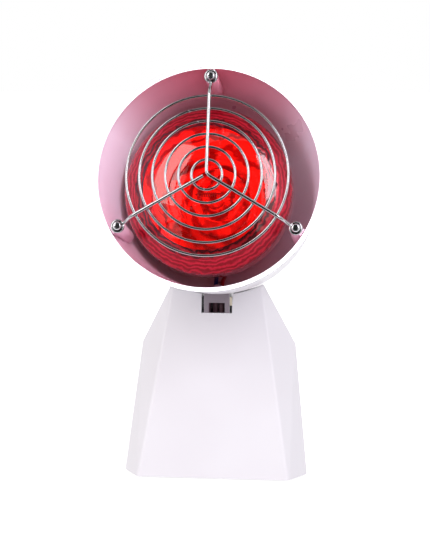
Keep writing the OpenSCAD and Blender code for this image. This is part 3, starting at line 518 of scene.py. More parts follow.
# %% The three screw bosses
SCREW_R, BOSS_R, BOSS_LEN = 70.0, 4.6, 40.0
WEB_HALF, WEB_SPLIT = 2.5, 20.0
SCREW_ANGLES = (90.0, -30.0, 210.0)
bosses = bmesh.new()
for angle in SCREW_ANGLES:
    part = bmesh.new()
    rod(part, (SCREW_R, 0, -BOSS_LEN), (SCREW_R, 0, -0.02), BOSS_R, 48)
    bmesh.ops.transform(part, matrix=turn(angle, "Z"), verts=part.verts)
    boss_mesh = bpy.data.meshes.new("boss")
    part.to_mesh(boss_mesh)
    part.free()
    bosses.from_mesh(boss_mesh)
carve(shade, to_object(bosses, "bosses", TO_HEAD, [white]), "UNION")
webs = bmesh.new()
for angle in SCREW_ANGLES:
    around = turn(angle, "Z")
    front_end = (inner_r(WEB_SPLIT) + 1, WEB_HALF, -0.6)
    rear_end = (inner_r(BOSS_LEN) + 1, WEB_HALF - 0.1, 1 - WEB_SPLIT)
    block(webs, (SCREW_R, -WEB_HALF, -WEB_SPLIT), front_end, around)
    block(webs, (SCREW_R, 0.1 - WEB_HALF, -BOSS_LEN + 0.1), rear_end, around)
carve(shade, to_object(webs, "webs", TO_HEAD, [white]), "UNION")
print("bosses joined:", len(SCREW_ANGLES))

# %% [markdown]
# The vents are slots round the rear housing. The leads come up from the pivot and go through one
# hole in the bowl's underside: LEAD_AHEAD and LEAD_ABOVE say where they pass, in front of the pivot
# and above it, before the head is tilted.

# %% The vent slots and the holes
VENTS, VENT_W, VENT_FROM, VENT_TO = 12, 3.2, 136.0, 172.0
VENT_INNER, VENT_OUTER = 33.0, 42.0
vents = bmesh.new()
for i in range(VENTS):
    around = turn((i + 0.5) * 360 / VENTS, "Z")
    block(vents, (VENT_INNER, -VENT_W / 2, -VENT_TO), (VENT_OUTER, VENT_W / 2, -VENT_FROM), around)
carve(shade, to_object(vents, "vents", TO_HEAD, [white]))
LEAD_AHEAD, LEAD_ABOVE, LEAD_HOLE_R, SCREW_HOLE_R = 1.4, 22, 4.2, 1.55
tilt = math.radians(HEAD_TILT)
LEAD_DEPTH = PIVOT_DEPTH - LEAD_AHEAD * math.cos(tilt) - LEAD_ABOVE * math.sin(tilt)
hole = bmesh.new()
rod(hole, (0, -40, -LEAD_DEPTH), (0, -80, -LEAD_DEPTH), LEAD_HOLE_R, 48)
carve(shade, to_object(hole, "lead_hole", TO_HEAD, [white]))
screw_holes = bmesh.new()
for angle in SCREW_ANGLES:
    spot = turn(angle, "Z") @ Vector((SCREW_R, 0, 0))
    rod(screw_holes, (spot.x, spot.y, -15), (spot.x, spot.y, 1), SCREW_HOLE_R, 24)
carve(shade, to_object(screw_holes, "screw_holes", TO_HEAD, [white]))
round_edges(shade, 0.00025, 2, 50)
print("shade faces:", len(shade.data.polygons))

# %% [markdown]
# The inside of the shade has the finish with its painted light and shade. The faces that look towards
# the axis, behind the lip, get it, and so does a small ring round the leads' hole, which lies in the
# dark of the hinge. The lip's groove and its outer edge get a dull grey line of painted shade.

# %% Paint the inside and the lip
from_head = TO_HEAD.inverted()
turn_back = from_head.to_3x3().normalized()
LEAD_SHADOW_R, LIP_EDGE_R, LIP_EDGE_DEPTH = 7.0, 78.75, 2.2
painted = 0
for face in shade.data.polygons:
    middle = from_head @ face.center
    facing = turn_back @ face.normal
    outward = Vector((middle.x, middle.y, 0)).normalized()
    radius = math.hypot(middle.x, middle.y)
    in_drum = -DRUM < middle.z < -0.6 and radius < inner_r(-middle.z) + 0.8
    in_bowl = -BOWL < middle.z <= -DRUM and (facing.z > 0.05 or facing.dot(outward) < -0.2)
    at_leads = middle.y < 0 and math.hypot(middle.x, middle.z + LEAD_DEPTH) < LEAD_SHADOW_R
    in_groove = 76.5 < radius < 77.25 and middle.z < -0.05
    on_edge = radius > LIP_EDGE_R and middle.z > -LIP_EDGE_DEPTH
    painted += in_drum or in_bowl
    if in_drum or in_bowl or at_leads:
        face.material_index = 1
    # Painted shade: the groove and the lip's outer edge take the dull grey.
    if in_groove or on_edge:
        face.material_index = 2
print("faces inside:", painted)
settle(shade, "shade", angle=40)

# %% [markdown]
# Some CAD nodes have the right shape but knife edges. A copy of such a node is merged, its flat
# faces are joined again, and a small bevel rounds what is sharp. The neck and the shims then get
# painted shade, as the hinge slot shows it: the neck's hollow and its front get dull dark tones, and
# the shims are painted black, all but the upper end of the right one, which keeps its cream.

# %% Soften copies of plain nodes
def soften(node_name, width, segments=2, flat=1.0, angle=35.0):
    bm = bmesh.new()
    bm.from_mesh(NODES[node_name].data)
    bmesh.ops.remove_doubles(bm, verts=bm.verts, dist=2e-6)
    bmesh.ops.dissolve_limit(bm, angle_limit=math.radians(flat), verts=bm.verts, edges=bm.edges)
    mesh = bpy.data.meshes.new(node_name + "_soft")
    bm.to_mesh(mesh)
    bm.free()
    mesh.materials.append(FINISHES[slot_of[node_name]])
    piece = bpy.data.objects.new(node_name + "_soft", mesh)
    bpy.context.collection.objects.link(piece)
    round_edges(piece, width, segments, angle)
    return settle(piece, node_name)


soften("rear_cap", 0.0003)
NECK_FRONT_HALF, NECK_HOLLOW_HALF, UNSHADED_CREAM_HEIGHT = 0.0085, 0.0059, 0.0045
neck = soften("neck", 0.0006, 3)
neck.data.materials.append(hollow)
neck.data.materials.append(shaded)
# Painted shade: the neck's front faces and its hollow take the dull dark tones.
for face in neck.data.polygons:
    if face.normal.y < -0.8 and abs(face.center.x) < NECK_FRONT_HALF:
        face.material_index = 2
    elif abs(face.center.x) < NECK_HOLLOW_HALF:
        face.material_index = 1
shims = soften("friction_shims", 0.0002)
shims.data.materials.append(satin_black)
PAINTED_SHADE_BELOW = max(v.co.z for v in shims.data.vertices) - UNSHADED_CREAM_HEIGHT
# Painted shade: the left shim and the lower part of the right one are painted black.
for face in shims.data.polygons:
    if face.center.x < 0 or face.center.z < PAINTED_SHADE_BELOW:
        face.material_index = 1
soften("base_plate", 0.0003)
soften("rubber_feet", 0.0004)
soften("switch_frame", 0.0004)
soften("cord_gland", 0.0003)
soften("holder_ceramic", 0.0004)

# %% [markdown]
# The guard is six rings of thin wire under two bent spokes of thicker wire, which touch them. The
# rings are turned, and where each ring's ends meet there is a small butt weld.

# %% The guard's rings
RING_WIRE, SPOKE_WIRE = 1.9, 2.4
RISE, DOME, RING_FIRST, RING_STEP, RINGS = 8.0, 2.2, 10.4, 8.95, 6
JOG_IN, JOG_OUT = RING_FIRST + RING_STEP * (RINGS - 1) + 3.2, 64.0


def spoke_height(radius):
    return RISE + DOME - DOME / JOG_IN * radius


def ring_height(radius):
    return spoke_height(radius) - (SPOKE_WIRE + RING_WIRE) / 2


rings_bm = bmesh.new()
for i in range(RINGS):
    radius = RING_FIRST + i * RING_STEP
    circle = arc((radius, ring_height(radius)), RING_WIRE / 2, RING_WIRE / 2, 0, 360, 16)[:-1]
    turned = lathe(circle, 144)
    ring_mesh = bpy.data.meshes.new("ring")
    turned.to_mesh(ring_mesh)
    turned.free()
    rings_bm.from_mesh(ring_mesh)
    bpy.data.meshes.remove(ring_mesh)
BUTT_WELDS = (262.0, 200.0, 151.0, 101.0, 107.0, 341.0)
WELD_R, WELD_SQUEEZE = 1.22, 0.45
squeeze = Matrix.Diagonal((1, WELD_SQUEEZE, 1, 1))
for i, angle in enumerate(BUTT_WELDS):
    radius = RING_FIRST + i * RING_STEP
    place = turn(angle, "Z") @ shift(radius, 0, ring_height(radius)) @ squeeze
    bmesh.ops.create_icosphere(rings_bm, subdivisions=3, radius=WELD_R, matrix=place)
rings_piece = to_object(rings_bm, "guard_rings_wire", TO_HEAD, [chrome])
settle(rings_piece, "guard_rings", angle=80)

# %% [markdown]
# A bent wire is easiest as a curve with a round bevel, which keeps one thickness through every
# bend. The curve is made a mesh as soon as its path is right.

# %% A tube along a smooth path
def rounded_path(points, radius, steps=6):
    """Replaces each corner of a path by a short arc-like blend."""
    points = [Vector(p) for p in points]
    path = [points[0]]
    for before, corner, after in zip(points, points[1:], points[2:]):
        reach_in = min(radius, (corner - before).length * 0.48)
        reach_out = min(radius, (after - corner).length * 0.48)
        start = corner + (before - corner).normalized() * reach_in
        end = corner + (after - corner).normalized() * reach_out
        for i in range(steps + 1):
            t = i / steps
            path.append((1 - t) ** 2 * start + 2 * t * (1 - t) * corner + t * t * end)
    return path + [points[-1]]


def tube(name, paths, radius, place, finish, resolution=5):
    curve = bpy.data.curves.new(name, "CURVE")
    curve.dimensions = "3D"
    curve.bevel_depth = radius
    curve.bevel_resolution = resolution
    curve.use_fill_caps = True
    for path in paths:
        spline = curve.splines.new("POLY")
        spline.points.add(len(path) - 1)
        for point, at in zip(spline.points, path):
            point.co = (*at, 1)
    holder = bpy.data.objects.new(name + "_curve", curve)
    bpy.context.collection.objects.link(holder)
    bpy.context.view_layer.update()
    mesh = bpy.data.meshes.new_from_object(holder)
    bpy.data.objects.remove(holder)
    bm = bmesh.new()
    bm.from_mesh(mesh)
    return to_object(bm, name, place, [finish])


# %% The guard's spokes
EYE_R, EYE_GAP, BEND_R, SHORT_START = 3.65, 24.0, 3.2, 2.44
EYE_Z = 0.02 + (SPOKE_WIRE + 0.12) / 2


def polar(radius, angle, height):
    return turn(angle, "Z") @ Vector((radius, 0, height))


def leg(angle, start):
    """From the middle of the guard to the eye round one screw."""
    bend = [polar(start, angle, spoke_height(start)), polar(JOG_IN, angle, spoke_height(JOG_IN))]
    bend += [polar(JOG_OUT, angle, EYE_Z)]
    centre = polar(SCREW_R, angle, EYE_Z)
    swept = range(0, int(361 - EYE_GAP), 12)
    eye = [centre + turn(angle + 180 + a, "Z") @ Vector((EYE_R, 0, 0)) for a in swept]
    return bend, eye


top_bend, top_eye = leg(90.0, 0.0)
right_bend, right_eye = leg(-30.0, 0.0)
long_path = top_eye[::-1] + rounded_path(top_bend[::-1] + right_bend[1:], BEND_R) + right_eye
short_bend, short_eye = leg(210.0, SHORT_START)
short_path = rounded_path(short_bend, BEND_R) + short_eye
long_spoke = tube("guard_long_wire", [long_path], SPOKE_WIRE / 2, TO_HEAD, chrome, 6)
settle(long_spoke, "guard_long_spoke", angle=80)
short_spoke = tube("guard_short_wire", [short_path], SPOKE_WIRE / 2, TO_HEAD, chrome, 6)
settle(short_spoke, "guard_short_spoke", angle=80)

# %% [markdown]
# The guard's screws are pan heads with a cross recess. The head is turned, and two slots that
# cross are cut out of it, one after the other: a cutter that crosses itself would empty the mesh.

# %% Cross-head screws
HEAD_R, HEAD_H, SHANK_R = 3.0, 2.2, 1.5
ARM_HALF_L, ARM_HALF_W, ARM_DEPTH = 1.75, 0.38, 1.3
SCREW_LEN, SCREW_TURNS = 12, (12, 50, 28)


def screw_mesh(places, length, name, *nodes):
    head = [(0.0, -length), (SHANK_R, -length), (SHANK_R, 0.0), (HEAD_R - 0.15, 0.0), (HEAD_R, 0.2)]
    head += arc((HEAD_R - 1.5, 0.7), 1.5, 1.5, 0, 75, 6) + [(0.0, HEAD_H)]
    whole = bmesh.new()
    for place in places:
        one = lathe(head, 48, closed=False)
        piece = to_object(one, "one_screw", Matrix.Identity(4), [zinc])
        for angle in (0, 90):
            arm = bmesh.new()
            low = (-ARM_HALF_L, -ARM_HALF_W, HEAD_H - ARM_DEPTH)
            block(arm, low, (ARM_HALF_L, ARM_HALF_W, HEAD_H + 1), turn(angle, "Z"))
            carve(piece, to_object(arm, "cross_arm", Matrix.Identity(4), [zinc]))
        piece.data.transform(place)
        whole.from_mesh(piece.data)
        print("one screw's faces:", len(piece.data.polygons))
        bpy.data.objects.remove(piece)
    made = to_object(whole, name, Matrix.Identity(4), [zinc])
    return settle(made, *nodes, angle=30)


head_z = EYE_Z + math.sqrt((SPOKE_WIRE / 2) ** 2 - (EYE_R - HEAD_R) ** 2) + 0.02
screw_places = [
    TO_HEAD @ Matrix.Translation(polar(SCREW_R, angle, head_z)) @ turn(turned, "Z")
    for angle, turned in zip(SCREW_ANGLES, SCREW_TURNS)
]
screw_mesh(screw_places, SCREW_LEN + head_z, "guard_screw_set", "guard_screws")

# %% [markdown]
# The bulb is one blown envelope: a domed front, a short skirt and a funnel down to the neck. The
# front glass is turned with real thickness, so that it refracts. Round its clear window lie a band
# of dark foil and one of crimson foil. The funnel behind it is mirrored inside and red outside.

# %% The front glass
BULB_R, EQUATOR, LENS_RISE, GLASS = 60.5, 116.0, 20.0, 2.6
WINDOW_R, FOIL_R = 44.5, 50.5
dome = arc((0, EQUATOR), BULB_R, LENS_RISE, 0, 90, 44)
dome_in = arc((0, EQUATOR), BULB_R - GLASS, LENS_RISE - GLASS, 0, 90, 44)
dome[-1], dome_in[-1] = (0.0, EQUATOR + LENS_RISE), (0.0, EQUATOR + LENS_RISE - GLASS)
front_bm = lathe(dome + dome_in[::-1], 144, closed=False)
front = to_object(front_bm, "bulb_front", TO_BULB, [red_glass, foil, dark_foil])
bulb_back = TO_BULB.inverted()
for face in front.data.polygons:
    spot = bulb_back @ face.center
    from_axis = math.hypot(spot.x, spot.y)
    if from_axis > WINDOW_R:
        face.material_index = 1 if from_axis > FOIL_R else 2
settle(front, "bulb_front_glass", angle=60)

# %% The mirrored funnel
NECK_R, FUNNEL_START, FUNNEL_LEN = 19.6, 44.0, 66.0


def funnel_r(height):
    share = (height - FUNNEL_START) / FUNNEL_LEN
    return NECK_R + (BULB_R - NECK_R) * math.sin(math.radians(90 * share ** 0.8))


heights = [FUNNEL_START + FUNNEL_LEN * (i / 40) ** 1.3 for i in range(41)]
wall_out = [(funnel_r(h), h) for h in heights] + [(BULB_R, EQUATOR - 0.02)]
wall_in = [(r - GLASS, h) for r, h in wall_out]
funnel = to_object(lathe(wall_out + wall_in[::-1], 144), "bulb_funnel", TO_BULB, [red_back, mirror])
bulb_turn_back = bulb_back.to_3x3().normalized()
for face in funnel.data.polygons:
    spot = bulb_back @ face.center
    facing = (bulb_turn_back @ face.normal).dot(Vector((spot.x, spot.y, 0)).normalized())
    if facing < 0:
        face.material_index = 1
settle(funnel, "bulb_reflector", angle=60)

# %% [markdown]
# The bulb's neck and stem lie at the bottom of the bowl, and seen through red glass they look like
# more of its mirror, so they get its finish with its painted glow. The neck's screws sit in the dark
# hollow of the hinge and get its painted shade instead of steel.

# %% Nodes with another finish than their slot's
for name in ("bulb_neck_glass", "bulb_stem"):
    NODES[name].data.materials[0] = mirror
# Painted shade: the neck's screws take the dull tone of the hinge's hollow.
NODES["neck_screws"].data.materials[0] = hollow
print("finishes changed: 3")

# %% [markdown]
# Inside the bulb a glass stem carries the filament. The coil is a tube along a helix, from one
# post to the other.

# %% The filament
STEM_TOP, POST_X, POST_H = 62.0, 9.0, 14
COIL_TURNS, COIL_R, COIL_WIRE_R = 14, 1.3, 0.22
coil = []
for i in range(COIL_TURNS * 12 + 1):
    share = i / (COIL_TURNS * 12)
    swing = 2 * math.pi * COIL_TURNS * share
    x = -(POST_X - 1) + 2 * (POST_X - 1) * share
    coil.append(Vector((x, COIL_R * math.sin(swing), STEM_TOP + POST_H + COIL_R * math.cos(swing))))
filament = tube("bulb_coil", [coil], COIL_WIRE_R, TO_BULB, tungsten, 2)
settle(filament, "bulb_filament", angle=80)

# %% [markdown]
# The leads are soft sleeved wires. They follow the routes of their CAD nodes, but with rounded
# bends, from the pivot up through the neck to the lamp holder, and down through the base. Where
# they pass through the hinge, a cover sleeves each one, and its dull mauve is painted shade.

# %% The leads
HOLDER_TIP, COVER_WALL = 24.68, 0.25
TERMINAL_X, TERMINAL_DEPTH, LEAD_X, LEAD_R = 7.0, 163.0, 2.2, 1.5
bowl_share = (LEAD_DEPTH - DRUM + LEAD_IN) / BOWL_HALF
SHADE_AT_LEAD = HOUSING_R + BOWL_RISE * math.sqrt(1 - bowl_share ** 2)
for side, colour in ((-1, "blue"), (1, "red")):
    route = [
        (side * LEAD_X, -PIVOT_DROP + 1.4, 4 - PIVOT_DEPTH),
        (side * LEAD_X, -PIVOT_DROP + 7, -LEAD_DEPTH),
        (side * LEAD_X, -SHADE_AT_LEAD + WALL + 5, -LEAD_DEPTH),
        (side * (LEAD_X + 1), -SHADE_AT_LEAD + WALL + 12, -LEAD_DEPTH - 12),
        (side * (LEAD_X + 3), -HOUSING_R + WALL + 4.5, -BOWL + 4),
        (side * TERMINAL_X, -HOLDER_TIP - 5, 8 - TERMINAL_DEPTH),
        (side * TERMINAL_X, -HOLDER_TIP - 3.4, -TERMINAL_DEPTH),
        (side * TERMINAL_X, -HOLDER_TIP, -TERMINAL_DEPTH),
    ]
    sleeve_finish, painted_shade_cover_finish = FINISHES["lead_" + colour], FINISHES["lead_cover"]
    lead = tube("head_sleeve_" + colour, [rounded_path(route, 5.0)], LEAD_R, TO_HEAD, sleeve_finish)
    settle(lead, "head_lead_" + colour, angle=80)
    # Painted shade: the cover's dull mauve stands for the dark of the hinge.
    covered = rounded_path([*route[:2], (side * LEAD_X, -SHADE_AT_LEAD - 2.5, -LEAD_DEPTH)], 4.0)
    cover = tube("cover_" + colour, [covered], LEAD_R + COVER_WALL, TO_HEAD, painted_shade_cover_finish)
    settle(cover, "head_lead_" + colour, angle=80)
BLOCK_MOUTH, BLOCK_Z, BLADE_END = 100.6, 9.42, 108.7
base_routes = {
    "base_lead_blue": [(-2.2, 44.6, 108), (-2.2, 45.2, 89), (-2.2, 49.6, 77), (-5, 52, 50),
                       (-6, 76, 24), (-6, BLOCK_MOUTH - 8, BLOCK_Z), (-6, BLOCK_MOUTH, BLOCK_Z)],
    "base_lead_red": [(2.2, 44.6, 108), (2.2, 45.2, 89), (2.2, 49.6, 77), (7, 56, 56), (5, 92, 38),
                      (5, BLADE_END, 30)],
    "switch_link_lead": [(-5, BLADE_END, 30), (-6, 94, 29), (-3, 88, 26), (6, 86, 14),
                         (6, BLOCK_MOUTH - 6, BLOCK_Z), (6, BLOCK_MOUTH, BLOCK_Z)],
}
for node, route in base_routes.items():
    lead = tube(node + "_sleeve", [rounded_path(route, 6.0)], LEAD_R, TO_BASE, FINISHES[slot_of[node]])
    settle(lead, node, angle=80)

# %% [markdown]
# The base is a wedge with flat panels and rounded corners. It is the tight skin round a few discs
# at the foot and small balls at the upper corners, and Blender's convex hull operator draws just
# that. A second, smaller hull hollows it, and the room for the lowered shade and the hinge slot
# are cut out of the top. The slot is a block with the round sweep of the neck's foot below it. The
# cut in front of the neck reaches PAST_PIVOT beyond the pivot's plane, so that no film of plastic
# is left between it and the cuts behind.

# %% The wedge as a hull
FOOT_CORNERS = [
    ((51.9162, 4), 4.0), ((59.0808, 22.0404), 7.0), ((44.5984, 69.9448), 16.0), ((39.9908, 118), 10.0),
]
UPPER_CORNERS = [(31.0, 36.0, 133.5), (52.9, 43.5, 91.0), (37.7, 124.8, 41.8)]
EDGE_R, FOOT_Z, BASE_WALL = 3.2, 1.2, 2.6


def wedge(name, inset, low):
    bm = bmesh.new()
    for side in (-1, 1):
        for (x, y), radius in FOOT_CORNERS:
            bmesh.ops.create_circle(
                bm, cap_ends=False, segments=96, radius=radius - inset, matrix=shift(side * x, y, low)
            )
        for x, y, z in UPPER_CORNERS:
            bmesh.ops.create_uvsphere(
                bm, u_segments=48, v_segments=24, radius=EDGE_R - inset, matrix=shift(side * x, y, z)
            )
    bmesh.ops.delete(bm, geom=bm.edges[:], context="EDGES_FACES")
    bmesh.ops.convex_hull(bm, input=bm.verts, use_existing_faces=False)
    loose = [v for v in bm.verts if not v.link_faces]
    bmesh.ops.delete(bm, geom=loose, context="VERTS")
    print(name, "open edges:", sum(len(e.link_faces) != 2 for e in bm.edges))
    bmesh.ops.dissolve_limit(bm, angle_limit=math.radians(0.4), verts=bm.verts, edges=bm.edges)
    return to_object(bm, name, TO_BASE, [white])


base = wedge("base_wedge", 0.0, FOOT_Z)
print("wedge faces:", len(base.data.polygons))

# %% Hollow it and cut the saddle and the slot
TILT_DOWN, SADDLE_GAP = 1.0, 0.5
lowered = TO_PIVOT @ turn(90 - HEAD_TILT + TILT_DOWN, "X") @ shift(0, PIVOT_DROP, PIVOT_DEPTH)


def saddle(grow):
    outline = [(0.0, grow), (MOUTH_R + grow, grow)]
    outline += [(r, z) for r, z in bowl_arc(-grow, 40)] + [(0.0, -BOWL - grow)]
    return to_object(lathe(outline, 160, closed=False), "saddle", lowered, [white])


cavity = wedge("cavity", BASE_WALL, FOOT_Z - 1)
carve(cavity, saddle(SADDLE_GAP + BASE_WALL))
carve(base, cavity)
carve(base, saddle(SADDLE_GAP))
SLOT_W, SLOT_Z, NECK_FIT = 22.2, 116.2, 16.2
SLOT_FRONT, SLOT_BACK, SLOT_TOP = -10, 45.4, 150
TILT_UP, NECK_FRONT, NECK_BACK, NECK_ROOM, PAST_PIVOT = 34, 16.15, 12.7, 34, 1
slot = bmesh.new()
block(slot, (-SLOT_W / 2, SLOT_FRONT, SLOT_Z), (SLOT_W / 2, SLOT_BACK, SLOT_TOP))
carve(base, to_object(slot, "slot", TO_BASE, [white]))
sweep = bmesh.new()
rod(sweep, (-SLOT_W / 2, 0, 0), (SLOT_W / 2, 0, 0), NECK_FIT, 96)
carve(base, to_object(sweep, "sweep", TO_PIVOT, [white]))
lower_front = bmesh.new()
front_high = (SLOT_W / 2, PAST_PIVOT, NECK_ROOM)
block(lower_front, (-SLOT_W / 2, -NECK_FRONT, 0), front_high, turn(TILT_DOWN, "X"))
carve(base, to_object(lower_front, "lower_front", TO_PIVOT, [white]))
for angle in (0, TILT_UP):
    back = bmesh.new()
    block(back, (-SLOT_W / 2, 0, 0), (SLOT_W / 2, NECK_BACK, NECK_ROOM), turn(-angle, "X"))
    carve(base, to_object(back, "back", TO_PIVOT, [white]))
print("base faces after the cuts:", len(base.data.polygons))

# %% [markdown]
# The rear wall has a square opening for the switch and a round one for the cord's gland. Two ears
# with bosses carry the hinge's pins, one on each side of the slot.

# %% Openings in the rear wall, ears and rounded edges
REAR, REAR_IN, REAR_OUT = 128.0, 8, 5
SWITCH_Z, SWITCH_HALF_W, SWITCH_HALF_H, GLAND_Z, GLAND_R = 30.0, 9.5, 6.5, 13.0, 5.0
switch_low = (-SWITCH_HALF_W, REAR - REAR_IN, SWITCH_Z - SWITCH_HALF_H)
switch_high = (SWITCH_HALF_W, REAR + REAR_OUT, SWITCH_Z + SWITCH_HALF_H)
switch_opening = bmesh.new()
block(switch_opening, switch_low, switch_high)
carve(base, to_object(switch_opening, "switch_opening", TO_BASE, [white]))
inlet = bmesh.new()
rod(inlet, (0, REAR - REAR_IN, GLAND_Z), (0, REAR + REAR_OUT, GLAND_Z), GLAND_R, 48)
carve(base, to_object(inlet, "inlet", TO_BASE, [white]))
EAR_INNER, EAR_OUTER, EAR_FRONT, EAR_BACK, EAR_LOW, EAR_HIGH = 11.1, 14.1, -15.5, 11.0, -22, 8
EAR_BOSS, EAR_BOSS_R, PIN_REACH, PIN_ROOM_R = 9.0, 6.5, 24, 3.05
for side in (-1, 1):
    near, far = sorted((side * EAR_INNER, side * EAR_OUTER))
    ear = bmesh.new()
    block(ear, (near, EAR_FRONT, EAR_LOW), (far, EAR_BACK, EAR_HIGH))
    carve(base, to_object(ear, "ear", TO_PIVOT, [white]), "UNION")
    boss = bmesh.new()
    rod(boss, (side * (EAR_INNER + 0.1), 0, 0), (side * (EAR_OUTER + EAR_BOSS), 0, 0), EAR_BOSS_R, 48)
    carve(base, to_object(boss, "ear_boss", TO_PIVOT, [white]), "UNION")
carve(base, saddle(SADDLE_GAP))
pin_room = bmesh.new()
rod(pin_room, (-PIN_REACH, 0, 0), (PIN_REACH, 0, 0), PIN_ROOM_R, 48)
carve(base, to_object(pin_room, "pin_room", TO_PIVOT, [white]))
round_edges(base, 0.00045, 3, 38)
keep_flats_flat(base, 32)
settle(base, "base_shell", angle=None)

# %% [markdown]
# The rocker switch at the back has a key with a short pin through it; the key's profile rises to a
# ridge in the middle.

# %% The rocker
ROCKER_H, KEY_PIN_HALF, KEY_PIN_R = 10.8, 6.0, 1.2
TO_SWITCH = TO_BASE @ shift(0, REAR - 1.0, SWITCH_Z) @ turn(-8, "Z")
KEY_PROFILE = [
    (-7.9, -1.0), (-7.9, 2.2), (-4.0, 2.3), (0.0, 3.4), (4.0, 2.3), (7.9, 2.2), (7.9, -1.0),
    (2.6, -4.0), (-2.6, -4.0),
]
key = bmesh.new()
low = [key.verts.new((x, y, -ROCKER_H / 2)) for x, y in KEY_PROFILE]
key.faces.new(low)
grown = bmesh.ops.extrude_face_region(key, geom=key.faces[:])["geom"]
raised = [part for part in grown if isinstance(part, bmesh.types.BMVert)]
bmesh.ops.translate(key, vec=(0, 0, ROCKER_H), verts=raised)
rocker = to_object(key, "switch_key", TO_SWITCH, [satin_black])
pin = bmesh.new()
rod(pin, (0, 0, -KEY_PIN_HALF), (0, 0, KEY_PIN_HALF), KEY_PIN_R, 24)
carve(rocker, to_object(pin, "key_pin", TO_SWITCH, [satin_black]), "UNION")
round_edges(rocker, 0.0004, 3, 30)
settle(rocker, "switch_rocker", angle=30)

# %% [markdown]
# Finally the studio: a pale floor, a white backdrop that comes from the world, and soft light. The
# floor and the world look brighter to the camera, to a reflection and through glass than the light
# that they give, so the ground is near white and the lamp still has shadows.

# %% The floor
def looked_at(owner):
    """1 where the camera, a reflection or a view through glass looks, 0 for bouncing light."""
    path = add(owner, "ShaderNodeLightPath")
    seen = add(owner, "ShaderNodeMath", operation="ADD", use_clamp=True)
    seen_all = add(owner, "ShaderNodeMath", operation="ADD", use_clamp=True)
    link(owner, path, "Is Camera Ray", seen, 0)
    link(owner, path, "Is Glossy Ray", seen, 1)
    link(owner, seen, "Value", seen_all, 0)
    link(owner, path, "Is Transmission Ray", seen_all, 1)
    return seen_all


def white_for_rays(material, colour, glow):
    """Adds a glow to a finish that only the rays of looked_at see."""
    light = add(material, "ShaderNodeEmission", Color=(*colour, 1))
    strength = add(material, "ShaderNodeMath", operation="MULTIPLY")
    strength.inputs[1].default_value = glow
    link(material, looked_at(material), "Value", strength, 0)
    link(material, strength, "Value", light, "Strength")
    both = add(material, "ShaderNodeAddShader")
    link(material, shader_of(material), "BSDF", both, 0)
    link(material, light, "Emission", both, 1)
    link(material, both, "Shader", material.node_tree.nodes["Material Output"], "Surface")


floor_finish = new_finish("studio_floor", (0.62, 0.62, 0.63), 0.9)
white_for_rays(floor_finish, (1, 1, 1), 0.85)
floor_bm = bmesh.new()
bmesh.ops.create_grid(floor_bm, x_segments=1, y_segments=1, size=12.0)
floor = to_object(floor_bm, "studio_floor", Matrix.Identity(4), [floor_finish])
floor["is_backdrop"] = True
print("floor ready")

# %% [markdown]
# Two large softboxes stand in front, left and right, where the bulb shows them as arcs, and a weak
# one hangs overhead. One more light reaches only the shade, and stands for the light that the
# bulb's mirror throws on its wall. A band of dark cards behind the camera, overhead and on the
# floor shows in the chrome and the glass only.

# %% The light
AMBIENT = 0.64
LIGHT_AIM = Vector((0, -0.06, 0.18))
world = bpy.data.worlds.new("studio")
bpy.context.scene.world = world
world.use_nodes = True
sky = world.node_tree.nodes["Background"]
sky.inputs["Color"].default_value = (1, 1, 1, 1)
level = add(world, "ShaderNodeMath", operation="MULTIPLY_ADD")
level.inputs[1].default_value = 1.0 - AMBIENT
level.inputs[2].default_value = AMBIENT
link(world, looked_at(world), "Value", level, 0)
link(world, level, "Value", sky, "Strength")


def stand(name, data, aim, azimuth, elevation, distance):
    """Puts a light or a camera at a distance from aim, in a direction in degrees, looking at it."""
    a, e = math.radians(azimuth), math.radians(elevation)
    away = Vector((math.sin(a) * math.cos(e), -math.cos(a) * math.cos(e), math.sin(e)))
    holder = bpy.data.objects.new(name, data)
    holder.location = aim + away * distance
    holder.rotation_mode = "QUATERNION"
    holder.rotation_quaternion = away.to_track_quat("Z", "Y")
    bpy.context.collection.objects.link(holder)
    return holder


def softbox(name, azimuth, elevation, distance, width, height, power, tint):
    lamp = bpy.data.lights.new(name, "AREA")
    lamp.shape = "RECTANGLE"
    lamp.size, lamp.size_y = width, height
    lamp.energy = power
    lamp.color = tint
    return stand(name, lamp, LIGHT_AIM, azimuth, elevation, distance)


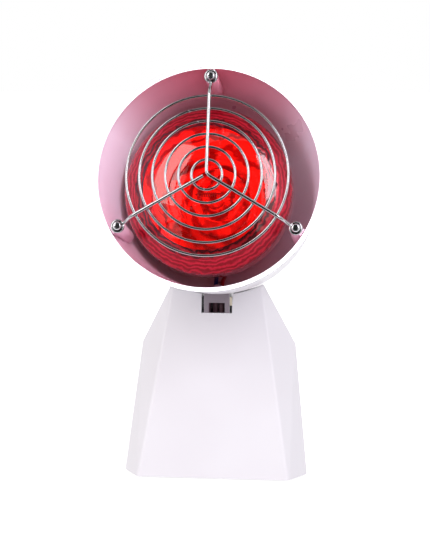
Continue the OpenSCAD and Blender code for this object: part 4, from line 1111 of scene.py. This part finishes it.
softbox("left_softbox", -40, 33, 1.5, 0.54, 0.9, 7.2, (1.0, 0.955, 0.95))
softbox("right_softbox", 38, 33, 1.5, 0.40, 0.8, 7.8, (0.95, 0.92, 1.0))
softbox("top_softbox", 20, 78, 1.4, 1.2, 1.0, 2.5, (1.0, 1.0, 1.0))
fill = softbox("shade_fill", 3, 20, 1.2, 1.3, 1.3, 30.0, (1.0, 0.97, 1.0))
fill.visible_glossy = False
fill.visible_camera = False
receivers = bpy.data.collections.new("shade_fill_receivers")
receivers.objects.link(shade)
fill.light_linking.receiver_collection = receivers

card_finish = new_finish("dark_card", (0.02, 0.02, 0.02), 0.9)
CARDS = {
    "front_card": shift(0, -2.1, 0.9) @ turn(90, "X") @ Matrix.Diagonal((0.95, 1.7, 1, 1)),
    "top_card": shift(0, -0.4, 2.3) @ Matrix.Diagonal((0.9, 1.9, 1, 1)),
    "low_card": shift(0, -1.35, 0.004) @ Matrix.Diagonal((0.9, 1.1, 1, 1)),
}
for name, place in CARDS.items():
    card_bm = bmesh.new()
    bmesh.ops.create_grid(card_bm, x_segments=1, y_segments=1, size=1.0)
    card = to_object(card_bm, name, place, [card_finish])
    card.visible_camera = False
    card.visible_diffuse = False
    card.visible_transmission = False
    card.visible_shadow = False
    card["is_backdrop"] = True
print("studio ready")

# %% [markdown]
# The camera stands 1.15 m away, a little to the right and above, with a long lens, as the shape
# of the mouth's ellipse and the lines of the base in the photograph tell.

# %% The camera
AIM = Vector((0.0019, -0.059447, 0.1515))
AZIMUTH, ELEVATION, DISTANCE = 6.5, 7.4, 1.15
FOCAL_PIXELS, PICTURE_PIXELS, SENSOR_MM = 1643, 537, 36
lens = bpy.data.cameras.new("camera")
lens.lens = FOCAL_PIXELS / PICTURE_PIXELS * SENSOR_MM
camera = stand("camera", lens, AIM, AZIMUTH, ELEVATION, DISTANCE)
bpy.context.scene.camera = camera
bpy.context.scene.view_settings.view_transform = "Standard"
print("lens in mm:", round(lens.lens, 1))

# %% Sizes, and the end
seen_low, seen_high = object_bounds()
outside = (*(cad_low - seen_low), *(seen_high - cad_high))
print("outside the CAD box by mm:", [round(1000 * v, 2) for v in outside])
